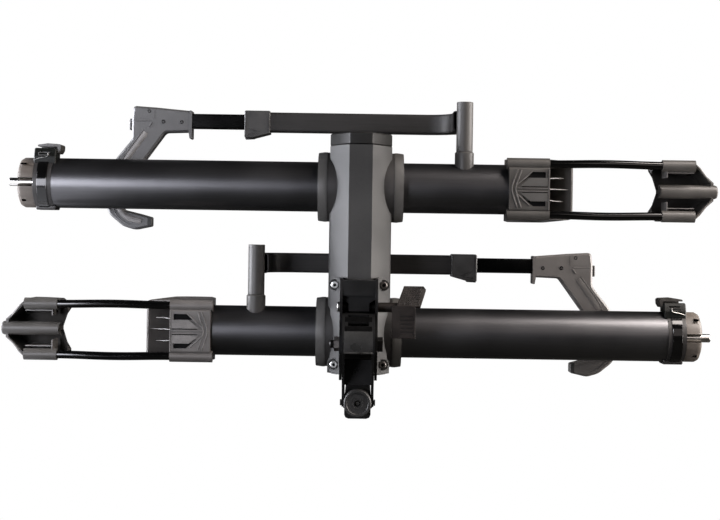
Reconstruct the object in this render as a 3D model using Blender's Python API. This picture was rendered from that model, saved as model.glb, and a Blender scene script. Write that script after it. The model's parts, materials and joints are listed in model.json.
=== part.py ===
"""Hitch bike rack for two bikes, folded up against the vehicle.

Two round trays cross a bevelled spine. The spine turns on a bracket at the rear end of the tongue.
Origin: the hitch pin, on the tongue's axis. +Y points into the receiver, +Z up, +X to the right of
someone who stands behind the rack. Lengths are in metres.
"""
import math

import bpy
import bmesh
from mathutils import Matrix, Vector

# Fits
TOUCH = 0.0003              # between two faces that touch
RUN = 0.0006                # between two faces that slide or turn on each other
BOLT_FIT = 0.0004           # round a bolt in its hole

# Tongue and its clamp
TONGUE_SIDE = 0.0508
TONGUE_WALL = 0.0048
TONGUE_CORNER = 0.0080
TONGUE_REACH = 0.225        # from the pin back to the rear end
TONGUE_TIP = 0.0775         # from the pin forward to the front end
PIN_BORE = 0.0163
CAM_RISE = 0.0070           # the cam rod lies above the tongue's axis
CAM_ROD = 0.0120
CAM_ROD_END = 0.0700        # the rod stops this far behind the pin
SHOE_LENGTH = 0.0300        # window in the tongue's top for the cam's shoe
SHOE_WIDTH = 0.0200
GUIDE_PLATE = 0.0060
KNOB = 0.0528
KNOB_DISH = 0.0426
KNOB_DISH_DEPTH = 0.0020
KNOB_LENGTH = 0.0300
KNOB_HUB = 0.0240
KNOB_NECK = 0.0060
KEY_FLATS = 0.0125
KEY_DEPTH = 0.0120
END_PLATE = 0.0060

# Fold hinge
PIVOT_BACK = 0.024          # the pivot lies this far behind the tongue's rear end
PIVOT_RISE = 0.120
PIVOT_BOLT = 0.0160
PIVOT_HUB = 0.0300
PIVOT_HEAD_FLATS = 0.0240
PIVOT_HEAD_LENGTH = 0.0100
PIVOT_THREAD = 0.0080       # bolt end that shows past its nut
CHEEK = 0.0050              # bracket plate thickness
CHEEK_GAP = 0.0006          # inner plate to outer plate
SECTOR_RADIUS = 0.0600
SECTOR_WALL = 0.0050
SECTOR_LOW = -14.0          # degrees above the rearward direction
SECTOR_HIGH = 172.0
CROSS_BOLT = 0.0080
CROSS_HEAD = 0.0120
CROSS_HEAD_LENGTH = 0.0030
CROSS_BACK = 0.013          # bolt axis ahead of the tongue's rear end
CROSS_RISE = 0.0045
BRACKET_TOP = 0.1260        # fold bracket over the pivot
BRACKET_FOOT = 0.0700       # and under it
BRACKET_BACK = 0.0130       # behind the pivot, at the top block
BRACKET_BELLY = 0.0280      # behind the pivot, at its widest
BRACKET_BLOCK = 0.0290
BRACKET_CHIN = 0.0040       # plates over the top block
COVER_THICK = 0.0045
COVER_BACK = 0.0015         # behind the pivot
COVER_DROP = 0.0075         # under the latch shaft

# Latch and foot pedal
LATCH_RISE = 0.0700         # shaft above the pivot
LATCH_AHEAD = 0.0170        # shaft ahead of the pivot
LATCH_SHAFT = 0.0120
LATCH_HUB = 0.0200
PAWL_WIDTH = 0.0380
PAWL_DEPTH = 0.0100
PAWL_ANGLE = 158.0
FOLD_USE = 90.0
FOLD_TILT = 115.0
NOTCH_HALF = 4.6
SHAFT_HEAD = 0.0200
SHAFT_HEAD_LENGTH = 0.0050
PEDAL_BOSS = 0.0190
PEDAL_NEAR = 0.0630
PEDAL_WIDTH = 0.0450
PEDAL_DROP = 0.0580
PEDAL_LIFT = 0.0375
PEDAL_LEAN = 0.0240
PEDAL_SPREAD = 0.0095
PEDAL_PLATE = 0.0140
PEDAL_RIBS = 5

# Spine
SPINE_WIDTH = 0.1220
SPINE_FLAT = 0.0450
SPINE_WALL = 0.0040
BEVEL_FRONT = 0.1080        # rear flat behind the tray axis
BEVEL_EDGE = 0.0430         # widest line behind the tray axis
SPINE_AHEAD = 0.0740        # front flat ahead of the tray axis
SPINE_ABOVE = 0.0790        # over the upper tray axis
SPINE_BELOW = 0.0776        # under the lower tray axis
SPINE_CAP = 0.0244
PLUG_DEPTH = 0.0090
WINDOW_RISE = 0.0680        # opening for the hinge, over the lower tray axis

# Trays
TRAY_AHEAD = 0.1300         # tray axis ahead of the pivot
LOWER_TRAY_RISE = 0.0146    # over the pivot
TRAY_SPACING = 0.2890
TUBE = 0.0995
TUBE_WALL = 0.0030
TUBE_STRAP_END = 0.6455
TUBE_CRADLE_END = 0.3450
COLLAR = 0.1380
COLLAR_TAPER = 0.0018
COLLAR_REACH = 0.0845
COLLAR_GROOVE = 0.0706
COLLAR_INNER = 0.0400
COLLAR_SLEEVE = 0.0040

# Hinge plates on the spine
PLATE = 0.0030
PLATE_TOP = 0.1120          # over the lower tray axis
PLATE_EDGE = 0.0560
PLATE_BOLT_X = 0.0475
PLATE_BOLT_HIGH = 0.0964
PLATE_BOLT_LOW = 0.0581
PLATE_PAD = 0.0220
PLATE_PAD_RISE = 0.0125
SPOT_FACE = 0.0005
PLATE_BOLT = 0.0080
PLATE_HEAD = 0.0140
PLATE_HEAD_LENGTH = 0.0080

# Wheel arms
POST_X = 0.2050
POST_BEHIND = 0.0150        # post axis behind the tray axis
SADDLE = 0.0378
SADDLE_TOP = 0.0735
SLEEVE = 0.0328
SLEEVE_WALL = 0.0034
SLEEVE_TOP = 0.1720
POST_SHORT = 0.0060
ARM_RISE = 0.1352
ARM_OFFSET = 0.0040         # arm's first stretch lies this far inside the post's axis
ARM_AHEAD = 0.0980          # arm axis ahead of the tray axis
ARM_SIDE = 0.0400
ARM_WALL = 0.0025
ARM_CORNER = 0.0060
ARM_BEND = 0.0650
ARM_END = 0.4420            # outer tube's end, from the post
ARM_REACH = 0.6000          # inner tube's end, from the post
INNER_SIDE = 0.0300
INNER_WALL = 0.0025
INNER_CORNER = 0.0040
INNER_OVERLAP = 0.2600
UPPER_DRAWN = 0.0030        # how far each arm is drawn out at rest
LOWER_DRAWN = 0.0095
ARM_COLLAR_START = 0.3935
ARM_COLLAR_END = 0.4460
ARM_COLLAR_WALL = 0.0026
COLLAR_LUG = 0.0110
LATCH_LEVER = 0.0220
LATCH_LEVER_THICK = 0.0040
LATCH_LEVER_WIDTH = 0.0160
LATCH_PIN_INSET = 0.0008    # the lever's pin, in from its inner end and its upper face

# Wheel hooks
HOOK_THICK = 0.0360
HOOK_SOCKET = 0.0500
SOCKET_CLEAR = 0.0020       # inner tube's end to the socket's floor
HOOK_START = ARM_REACH + SOCKET_CLEAR - HOOK_SOCKET
HOOK_HEAD = 0.1230          # head's length from the socket's mouth
HOOK_EDGE = 0.0040
BUTTON_WIDTH = 0.0180
BUTTON_PROUD = 0.0065
BUTTON_FACE = HOOK_START + HOOK_HEAD + BUTTON_PROUD
BUTTON_TRAVEL = 0.0040
BUTTON_DEEP = 0.0160

# Rear wheel straps
BASE_REST = 0.0005          # band's outer edge in from the tube's end, at rest
BASE_OUT = TUBE_STRAP_END - BASE_REST
BAND_WIDTH = 0.0350
BAND_WALL = 0.0010
TROUGH_HALF = 0.0360
TROUGH_BACK = 0.0700
TROUGH_LENGTH = 0.0950
TROUGH_RADIUS = 0.0500
TROUGH_DEPTH = 0.0100
TROUGH_CHAMFER = 0.0080
STRAP_INSET = 0.0075        # strap's outer edge in from the band's
STRAP_WIDTH = 0.0200
STRAP_THICK = 0.0014
LUG_LENGTH = 0.0400
LUG_HALF = 0.0200
LUG_WALL = 0.0010
BUCKLE_INSET = -0.0020
BUCKLE_WIDTH = 0.0430
BUCKLE_TOP = 0.0695
BUCKLE_BEHIND = 0.0340
BUCKLE_AHEAD = 0.0100
LEVER_INSET = 0.0025
LEVER_LENGTH = 0.0460
LEVER_CLEAR = 0.0020
LEVER_PIN_RISE = 0.0630
LEVER_PIN_AHEAD = 0.0180

# Tray end caps
CAP_LENGTH = 0.0330
CAP_CORNER = 0.0100
CAP_WALL = 0.0040
CAP_SKIRT = 0.0120
CAP_SLOT_RISE = 0.0360
CAP_SLOT = 0.0040
CAP_SLOT_LENGTH = 0.0090
FERRULE = 0.0164
FERRULE_BORE = 0.0070
FERRULE_LENGTH = 0.0482
FERRULE_BEHIND = 0.0330

# Wheel cradles
ROD = 0.0160
ROD_HALF = 0.0498
ROD_BEHIND = 0.0450
ROD_BOW = 0.0018
BOSS = 0.0228
INNER_START = 0.2870
INNER_PLATE_END = 0.3710
INNER_SKIN = 0.0045
INNER_SHUT = 0.0060
WELL_START = 0.4230
WELL_END = 0.5730
WELL_NOTCH = 0.0200
CRADLE_HALF = 0.0590
SADDLE_HALF = 0.0640        # inner cradle's width on the tyre side
OUTER_BOSS_START = 0.5925
OUTER_BOSS_END = 0.6575
TIP = 0.7060
KEEL = 0.0274
NOSE_HALF = 0.0300          # outer cradle's nose, from its axis
RAMP = 0.0050
RAMP_TOP = 0.0570
CRADLE_FRONT = 0.0570

# Places that follow from the sizes above
PIVOT = Vector((0, -TONGUE_REACH - PIVOT_BACK, PIVOT_RISE))
TRAY_Y = PIVOT.y + TRAY_AHEAD
LOWER_Z = PIVOT.z + LOWER_TRAY_RISE
UPPER_Z = LOWER_Z + TRAY_SPACING
INNER_FACE = TONGUE_SIDE / 2 + TOUCH
INNER_OUT = INNER_FACE + CHEEK
OUTER_FACE = INNER_OUT + CHEEK_GAP
OUTER_OUT = OUTER_FACE + CHEEK
SHAFT = Vector((0, PIVOT.y + LATCH_AHEAD, PIVOT.z + LATCH_RISE))
TUBE_R = TUBE / 2
COLLAR_R = COLLAR / 2
SIDES = 32                  # flats round a tray tube


def arc(centre, radius, start, end, steps):
    """Points on a circle from one angle to another, in degrees."""
    points = []
    for step in range(steps + 1):
        angle = math.radians(start + (end - start) * step / steps)
        points.append((centre[0] + radius * math.cos(angle), centre[1] + radius * math.sin(angle)))
    return points


def filleted(corners, steps=2):
    """Closed outline from (x, y, radius) corners, each rounded to its radius."""
    outline = []
    for index, (x, y, radius) in enumerate(corners):
        here = Vector((x, y))
        if radius <= 0:
            outline.append((x, y))
            continue
        before = Vector(corners[index - 1][:2]) - here
        after = Vector(corners[(index + 1) % len(corners)][:2]) - here
        half = before.angle(after) / 2
        radius = min(radius, 0.48 * min(before.length, after.length) * math.tan(half))
        reach = radius / math.tan(half)
        if reach < 2 * TOUCH:
            outline.append((x, y))
            continue
        centre = here + (before.normalized() + after.normalized()).normalized() * (radius / math.sin(half))
        first = here + before.normalized() * reach - centre
        last = here + after.normalized() * reach - centre
        turn = first.angle_signed(last)
        for step in range(steps + 1):
            point = centre + Matrix.Rotation(-turn * step / steps, 2) @ first
            outline.append((point.x, point.y))
    return outline


def rounded_box_outline(width, height, radius, steps=2, centre=(0, 0)):
    """Rectangle with round corners."""
    x, y = width / 2, height / 2
    u, v = centre
    return filleted([(u + x, v - y, radius), (u + x, v + y, radius),
                     (u - x, v + y, radius), (u - x, v - y, radius)], steps)


def finished(shape):
    """Turn an edited shape into a mesh of one closed surface, with its faces pointing out."""
    bmesh.ops.remove_doubles(shape, verts=shape.verts, dist=1e-7)
    bmesh.ops.recalc_face_normals(shape, faces=shape.faces)
    mesh = bpy.data.meshes.new("shape")
    shape.to_mesh(mesh)
    shape.free()
    return mesh


def extruded(corners, reach):
    """Flat outline in space, drawn out along a vector."""
    shape = bmesh.new()
    face = shape.faces.new([shape.verts.new(corner) for corner in corners])
    drawn = bmesh.ops.extrude_face_region(shape, geom=[face])
    moved = [part for part in drawn["geom"] if isinstance(part, bmesh.types.BMVert)]
    bmesh.ops.translate(shape, verts=moved, vec=reach)
    return finished(shape)


def prism(outline, low, high, axis):
    """Outline in the plane square to an axis, drawn from low to high along that axis."""
    place = {"X": lambda u, v: (low, u, v), "Y": lambda u, v: (u, low, v), "Z": lambda u, v: (u, v, low)}[axis]
    reach = Vector([high - low if name == axis else 0 for name in "XYZ"])
    return extruded([place(u, v) for u, v in outline], reach)


def box(low, high):
    """Plain block between two corners."""
    return prism([(low[0], low[1]), (high[0], low[1]), (high[0], high[1]), (low[0], high[1])],
                 low[2], high[2], "Z")


def turned(profile, axis, centre=(0, 0, 0), sides=SIDES, ring=False):
    """(along, radius) profile spun round an axis. A ring's profile is closed on itself."""
    shape = bmesh.new()
    verts = [shape.verts.new((radius, 0, along)) for along, radius in profile]
    count = len(verts) if ring else len(verts) - 1
    edges = [shape.edges.new((verts[i], verts[(i + 1) % len(verts)])) for i in range(count)]
    bmesh.ops.spin(shape, geom=verts + edges, cent=(0, 0, 0), axis=(0, 0, 1), dvec=(0, 0, 0),
                   angle=math.tau, steps=sides, use_merge=True, use_duplicate=False)
    turn = {"X": Matrix.Rotation(math.pi / 2, 4, "Y"), "Y": Matrix.Rotation(-math.pi / 2, 4, "X"),
            "Z": Matrix.Identity(4)}[axis]
    bmesh.ops.transform(shape, matrix=Matrix.Translation(centre) @ turn, verts=shape.verts)
    bmesh.ops.remove_doubles(shape, verts=shape.verts, dist=1e-7)
    bmesh.ops.dissolve_degenerate(shape, edges=shape.edges, dist=1e-7)
    return finished(shape)


def cylinder(radius, low, high, axis, centre=(0, 0, 0), sides=SIDES):
    """Solid round bar along an axis."""
    return turned([(low, 0), (low, radius), (high, radius), (high, 0)], axis, centre, sides)


def ring(inner, outer, low, high, axis, centre=(0, 0, 0), sides=SIDES):
    """Washer or tube along an axis."""
    return turned([(low, inner), (low, outer), (high, outer), (high, inner)], axis, centre, sides, ring=True)


def hexagon(flats, low, high, axis, centre=(0, 0)):
    """Six-sided bar along an axis."""
    return prism([(centre[0] + x, centre[1] + y)
                  for x, y in arc((0, 0), flats / math.sqrt(3), 30, 330, 5)], low, high, axis)


def swept(frames, outer, inner=None):
    """Section carried along frames, hollow where an inner section is given."""
    shape = bmesh.new()
    walls = []
    for section in [outer] + ([inner] if inner else []):
        loops = [[shape.verts.new(frame @ Vector((u, v, 0))) for u, v in section] for frame in frames]
        for near, far in zip(loops, loops[1:]):
            for i in range(len(section)):
                j = (i + 1) % len(section)
                shape.faces.new((near[i], near[j], far[j], far[i]))
        walls.append(loops)
    for end in (0, -1):
        if inner:
            out, into = walls[0][end], walls[1][end]
            for i in range(len(out)):
                j = (i + 1) % len(out)
                shape.faces.new((out[i], out[j], into[j], into[i]))
        else:
            shape.faces.new(walls[0][end])
    return finished(shape)


def frame_at(origin, along, side):
    """Frame whose Z runs along a path and whose X points to one side."""
    along = Vector(along).normalized()
    side = Vector(side).normalized()
    turn = Matrix((side, along.cross(side), along)).transposed().to_4x4()
    return Matrix.Translation(origin) @ turn


def boolean(mesh, tools, operation):
    """Cut, join or intersect a mesh with others."""
    scene = bpy.context.scene.collection
    body = bpy.data.objects.new("body", mesh)
    scene.objects.link(body)
    helpers = []
    for tool in tools:
        helper = bpy.data.objects.new("tool", tool)
        scene.objects.link(helper)
        helpers.append(helper)
        change = body.modifiers.new("change", "BOOLEAN")
        change.operation = operation
        change.object = helper
    graph = bpy.context.evaluated_depsgraph_get()
    result = bpy.data.meshes.new_from_object(body.evaluated_get(graph))
    for spare in [body] + helpers:
        bpy.data.objects.remove(spare)
    return result


def cut(mesh, *tools):
    return boolean(mesh, tools, "DIFFERENCE")


def joined(mesh, *tools):
    return boolean(mesh, tools, "UNION")


def common(mesh, *tools):
    return boolean(mesh, tools, "INTERSECT")


def softened(mesh, width, steps=1, limit=40):
    """Edges rounded over."""
    body = bpy.data.objects.new("body", mesh)
    bpy.context.scene.collection.objects.link(body)
    bevel = body.modifiers.new("round", "BEVEL")
    bevel.width = width
    bevel.segments = steps
    bevel.limit_method = "ANGLE"
    bevel.angle_limit = math.radians(limit)
    graph = bpy.context.evaluated_depsgraph_get()
    result = bpy.data.meshes.new_from_object(body.evaluated_get(graph))
    bpy.data.objects.remove(body)
    return result


def mirrored(mesh):
    """Same shape for the other side of the spine."""
    twin = mesh.copy()
    twin.transform(Matrix.Scale(-1, 4, (1, 0, 0)))
    twin.flip_normals()
    return twin


def moved(mesh, place):
    copy = mesh.copy()
    copy.transform(Matrix.Translation(place))
    return copy


# Finishes: colour, roughness, metallic
FINISHES = {
    "gunmetal_powder_coat": ((0.115, 0.113, 0.110), 0.48, 0.35),
    "black_anodised": ((0.018, 0.018, 0.019), 0.36, 0.60),
    "gloss_black_enamel": ((0.010, 0.010, 0.010), 0.16, 0.00),
    "black_nylon": ((0.030, 0.029, 0.028), 0.52, 0.00),
    "grey_nylon": ((0.075, 0.076, 0.076), 0.46, 0.00),
    "satin_steel": ((0.120, 0.120, 0.120), 0.34, 0.80),
    "bright_steel": ((0.620, 0.610, 0.600), 0.22, 1.00),
    "black_steel": ((0.020, 0.020, 0.020), 0.34, 0.50),
    "gloss_strap": ((0.006, 0.006, 0.006), 0.14, 0.00),
    "brown_black_nylon": ((0.045, 0.036, 0.030), 0.45, 0.00),
}
anchors = {}


def material(finish):
    if finish in bpy.data.materials:
        return bpy.data.materials[finish]
    colour, roughness, metallic = FINISHES[finish]
    made = bpy.data.materials.new(finish)
    made.use_nodes = True
    shader = made.node_tree.nodes["Principled BSDF"]
    shader.inputs["Base Color"].default_value = (*colour, 1)
    shader.inputs["Roughness"].default_value = roughness
    shader.inputs["Metallic"].default_value = metallic
    return made


def anchor(name, place, parent=None):
    """Empty on a joint's axis, which carries the pieces that move with it."""
    empty = bpy.data.objects.new(name, None)
    bpy.context.scene.collection.objects.link(empty)
    place = Vector(place)
    anchors[name] = place
    if parent:
        empty.parent = bpy.data.objects[parent]
        place = place - anchors[parent]
    empty.location = place


def piece(name, mesh, finish, carrier):
    """One named sub-part, with its origin on its carrier."""
    mesh.transform(Matrix.Translation(-anchors[carrier]))
    mesh.name = name
    mesh.materials.clear()
    mesh.materials.append(material(finish))
    mesh.shade_smooth()
    mesh.set_sharp_from_angle(angle=math.radians(32))
    obj = bpy.data.objects.new(name, mesh)
    bpy.context.scene.collection.objects.link(obj)
    obj.parent = bpy.data.objects[carrier]


def round_the_pivot(radius, degrees):
    """Point (y, z) at a radius from the pivot, at an angle above the rearward direction."""
    angle = math.radians(degrees)
    return PIVOT.y - radius * math.cos(angle), PIVOT.z + radius * math.sin(angle)


def sector_arc(radius, start, end, steps):
    """Points (y, z) along an arc round the pivot."""
    return [round_the_pivot(radius, start + (end - start) * i / steps) for i in range(steps + 1)]


def spine_outline(grow=0.0, corner=0.010):
    """Spine section (x, y), drawn in or out by an amount."""
    flat, edge = SPINE_FLAT / 2, SPINE_WIDTH / 2
    slope = math.atan2(BEVEL_FRONT - BEVEL_EDGE, edge - flat)
    front = TRAY_Y - BEVEL_FRONT - grow
    flat = flat + grow * math.tan(slope / 2)
    side = edge + grow
    bend = TRAY_Y - BEVEL_EDGE - grow * math.tan((math.pi / 2 - slope) / 2)
    back = TRAY_Y + SPINE_AHEAD + grow
    soft = max(corner + grow, 0.001)
    return filleted([(-flat, front, 0), (flat, front, 0), (side, bend, 0), (side, back, soft),
                     (-side, back, soft), (-side, bend, 0)])


def bevel_depth(x):
    """Y of the spine's bevel at a distance x from the middle."""
    share = (x - SPINE_FLAT / 2) / (SPINE_WIDTH / 2 - SPINE_FLAT / 2)
    return TRAY_Y - BEVEL_FRONT + share * (BEVEL_FRONT - BEVEL_EDGE)


def tray_axis(z):
    return (0, TRAY_Y, z)


def collar_clearance(z, side):
    """Space that a collar takes in the spine, on one side."""
    reach = sorted((side * COLLAR_INNER - side * TOUCH, side * SPINE_WIDTH))
    return cylinder(COLLAR_R + TOUCH, reach[0], reach[1], "X", tray_axis(z))


def make_tongue():
    """Receiver tube with its end plate and rod guide, and the shoe that the cam presses on the receiver."""
    half = TONGUE_SIDE / 2
    inside = TONGUE_SIDE - 2 * TONGUE_WALL
    outer = rounded_box_outline(TONGUE_SIDE, TONGUE_SIDE, TONGUE_CORNER)
    inner = rounded_box_outline(inside, inside, TONGUE_CORNER - TONGUE_WALL)
    rear = -TONGUE_REACH
    tube = swept([frame_at((0, y, 0), (0, 1, 0), (1, 0, 0)) for y in (rear, TONGUE_TIP)], outer, inner)
    filling = rounded_box_outline(inside + 0.001, inside + 0.001, TONGUE_CORNER - TONGUE_WALL)
    shoe_back = -CAM_ROD_END - SHOE_LENGTH
    plates = [prism(filling, y, y + thick, "Y") for y, thick in ((rear, END_PLATE),
                                                               (shoe_back - 2 * GUIDE_PLATE, GUIDE_PLATE))]
    pin_hole = cylinder(PIN_BORE / 2, -TONGUE_SIDE, TONGUE_SIDE, "X", sides=20)
    cross_hole = cylinder(CROSS_BOLT / 2 + BOLT_FIT, -TONGUE_SIDE, TONGUE_SIDE, "X",
                          (0, rear + CROSS_BACK, CROSS_RISE), 12)
    bore = cylinder(CAM_ROD / 2 + RUN, -TONGUE_REACH * 1.2, -CAM_ROD_END, "Y", (0, 0, CAM_RISE), 16)
    window = box((-SHOE_WIDTH / 2, shoe_back, half - TONGUE_WALL * 1.5),
                 (SHOE_WIDTH / 2, -CAM_ROD_END, half + TONGUE_WALL))
    body = cut(joined(tube, *plates), pin_hole, cross_hole, bore, window)
    piece("tongue", body, "gloss_black_enamel", "hitch")
    shoe = box((-SHOE_WIDTH / 2 + TOUCH, shoe_back + TOUCH, CAM_RISE + CAM_ROD / 2 + TOUCH),
               (SHOE_WIDTH / 2 - TOUCH, -CAM_ROD_END - TOUCH, half))
    piece("cam_shoe", shoe, "black_steel", "shoe_line")


def make_knob():
    """Clamp knob with a dished face and a key socket, moulded on the rod that lifts the shoe."""
    rear = -TONGUE_REACH
    front = rear - KNOB_NECK
    back = front - KNOB_LENGTH + KNOB_NECK
    body = turned([(back, 0), (back, KNOB_DISH / 2 - KNOB_DISH_DEPTH),
                   (back - KNOB_DISH_DEPTH, KNOB_DISH / 2), (back - KNOB_DISH_DEPTH, KNOB / 2 - 0.0015),
                   (back, KNOB / 2), (front, KNOB / 2), (front, KNOB_HUB / 2),
                   (rear - TOUCH, KNOB_HUB / 2), (rear - TOUCH, 0)], "Y", (0, 0, CAM_RISE), 28)
    key = hexagon(KEY_FLATS, back - 0.01, back + KEY_DEPTH, "Y", (0, CAM_RISE))
    rod = cylinder(CAM_ROD / 2, rear - 0.001, -CAM_ROD_END, "Y", (0, 0, CAM_RISE), 16)
    piece("cam_knob", cut(joined(body, rod), key), "black_nylon", "cam_axis")


def make_tongue_bracket():
    """Two plates, the notched sector that the pawl drops into, and the hub for the pivot bolt."""
    low_z = -0.002
    rear = -TONGUE_REACH
    rim = sector_arc(SECTOR_RADIUS, SECTOR_LOW, SECTOR_HIGH, 18)
    outline = rim + [(PIVOT.y + 0.074, 0.060), (rear + 0.060, TONGUE_SIDE / 2 + 0.004),
                     (rear + 0.066, low_z), (rear - 0.004, low_z), (rear - 0.007, TONGUE_SIDE / 2 + 0.008)]
    plates = [prism(outline, *sorted((side * INNER_FACE, side * INNER_OUT)), "X") for side in (-1, 1)]
    overlap = 0.0005
    inside = sector_arc(SECTOR_RADIUS - SECTOR_WALL, SECTOR_HIGH, SECTOR_LOW, 18)
    sector = prism(rim + inside, -INNER_FACE - overlap, INNER_FACE + overlap, "X")
    notches = []
    for fold in (0, FOLD_USE, FOLD_TILT):
        middle = PAWL_ANGLE - fold
        corners = [round_the_pivot(radius, middle + turn) for radius, turn in (
            (SECTOR_RADIUS * 0.85, -NOTCH_HALF), (SECTOR_RADIUS * 1.15, -NOTCH_HALF),
            (SECTOR_RADIUS * 1.15, NOTCH_HALF), (SECTOR_RADIUS * 0.85, NOTCH_HALF))]
        notches.append(prism(corners, -PAWL_WIDTH / 2 - RUN, PAWL_WIDTH / 2 + RUN, "X"))
    hub = cylinder(PIVOT_HUB / 2, -INNER_FACE - overlap, INNER_FACE + overlap, "X", PIVOT, 20)
    web = box((-INNER_FACE - overlap, rear - 0.003, TONGUE_SIDE / 2 + 0.0145),
              (INNER_FACE + overlap, rear + 0.002, 0.088))
    holes = [cylinder(PIVOT_BOLT / 2 + BOLT_FIT, -SPINE_WIDTH, SPINE_WIDTH, "X", PIVOT, 16),
             cylinder(CROSS_BOLT / 2 + BOLT_FIT, -SPINE_WIDTH, SPINE_WIDTH, "X",
                      (0, rear + CROSS_BACK, CROSS_RISE), 12)]
    body = joined(plates[0], plates[1], cut(sector, *notches), hub, web)
    piece("tongue_bracket", cut(body, *holes), "gloss_black_enamel", "hitch")

    seat = INNER_OUT + TOUCH
    for side, name in ((-1, "left"), (1, "right")):
        profile = [(side * (seat + CROSS_HEAD_LENGTH), 0), (side * (seat + CROSS_HEAD_LENGTH), CROSS_HEAD / 2),
                   (side * seat, CROSS_HEAD / 2), (side * seat, CROSS_BOLT / 2),
                   (side * (TONGUE_SIDE / 2 - TONGUE_WALL), CROSS_BOLT / 2),
                   (side * (TONGUE_SIDE / 2 - TONGUE_WALL), 0)]
        piece("bracket_bolt_" + name, turned(profile, "X", (0, rear + CROSS_BACK, CROSS_RISE), 12),
              "black_steel", "hitch")


def make_spine():
    """Hollow bevelled extrusion with its caps, cut out for the trays' collars and the hinge."""
    bottom = LOWER_Z - SPINE_BELOW
    top = UPPER_Z + SPINE_ABOVE
    outer, inner = spine_outline(), spine_outline(-SPINE_WALL)
    body = swept([frame_at((0, 0, z), (0, 0, 1), (1, 0, 0)) for z in (bottom, top)], outer, inner)
    window = box((-OUTER_FACE + TOUCH, TRAY_Y - 0.2, bottom - 0.01),
                 (OUTER_FACE - TOUCH, TRAY_Y - BEVEL_EDGE - 0.020, LOWER_Z + WINDOW_RISE))
    openings = [collar_clearance(z, side) for z in (LOWER_Z, UPPER_Z) for side in (-1, 1)]
    bolts = [cylinder(PLATE_BOLT / 2 + BOLT_FIT, TRAY_Y - 0.15, TRAY_Y - 0.050, "Y", (x, 0, z), 10)
             for x, z in plate_bolts()]
    piece("spine", cut(body, window, *openings, *bolts), "gunmetal_powder_coat", "fold_axis")

    plug = spine_outline(-SPINE_WALL - TOUCH)
    lid = softened(prism(spine_outline(-TOUCH), top + TOUCH, top + SPINE_CAP, "Z"), 0.0025)
    skirt = prism(plug, top - PLUG_DEPTH, top + SPINE_CAP / 2, "Z")
    hollow = prism(spine_outline(-SPINE_WALL * 2), top - PLUG_DEPTH * 2, top + SPINE_CAP / 2, "Z")
    piece("spine_end_cap", cut(joined(lid, skirt), hollow), "gunmetal_powder_coat", "fold_axis")


def plate_bolts():
    return [(side * PLATE_BOLT_X, z) for side in (-1, 1)
            for z in (LOWER_Z + PLATE_BOLT_HIGH, LOWER_Z - PLATE_BOLT_LOW)]


def make_hinge_plates():
    """Cast plates on the spine's bevels, and the four cap bolts that hold them."""
    low, high = LOWER_Z - SPINE_BELOW, LOWER_Z + PLATE_TOP
    for side, name in ((-1, "left"), (1, "right")):
        skin = prism(spine_outline(PLATE + TOUCH), low - 0.001, high + 0.001, "Z")
        edges = sorted((side * (OUTER_OUT + TOUCH), side * PLATE_EDGE))
        side_view = filleted([(edges[0], low, 0.004), (edges[1], low, 0.004),
                              (edges[1], high, 0.012), (edges[0], high, 0.003)])
        band = prism(side_view, TRAY_Y - 0.2, TRAY_Y - BEVEL_EDGE + 0.004, "Y")
        pads, holes = [], []
        for x, z in plate_bolts():
            if x * side > 0:
                face = bevel_depth(PLATE_BOLT_X) - PLATE_PAD_RISE
                pads.append(cylinder(PLATE_PAD / 2, face, TRAY_Y - 0.040, "Y", (x, 0, z), 16))
                hole, spot = PLATE_BOLT / 2 + BOLT_FIT, PLATE_HEAD / 2 + RUN
                stepped = [(face - 0.02, 0), (face - 0.02, spot), (face + SPOT_FACE, spot),
                           (face + SPOT_FACE, hole), (TRAY_Y, hole), (TRAY_Y, 0)]
                holes.append(turned(stepped, "Y", (x, 0, z), 14))
        spine = prism(spine_outline(TOUCH), low - 0.01, high + 0.01, "Z")
        beside = sorted((0, side * (OUTER_OUT + TOUCH)))
        clear = box((beside[0], TRAY_Y - 0.2, low - 0.01), (beside[1], TRAY_Y, high + 0.01))
        plate = joined(common(skin, band), *pads)
        piece("hinge_plate_" + name, cut(plate, spine, clear, collar_clearance(LOWER_Z, side), *holes),
              "gunmetal_powder_coat", "fold_axis")
    seat = bevel_depth(PLATE_BOLT_X) - PLATE_PAD_RISE + SPOT_FACE - TOUCH
    for index, (x, z) in enumerate(plate_bolts(), 1):
        head = turned([(seat - PLATE_HEAD_LENGTH, 0), (seat - PLATE_HEAD_LENGTH, PLATE_HEAD / 2 - 0.001),
                       (seat - PLATE_HEAD_LENGTH + 0.001, PLATE_HEAD / 2), (seat, PLATE_HEAD / 2),
                       (seat, PLATE_BOLT / 2), (seat + 0.022, PLATE_BOLT / 2), (seat + 0.022, 0)],
                      "Y", (x, 0, z), 14)
        key = hexagon(0.006, seat - 0.02, seat - PLATE_HEAD_LENGTH + 0.004, "Y", (x, z))
        piece("hinge_plate_bolt_%d" % index, cut(head, key), "black_steel", "fold_axis")


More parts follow.
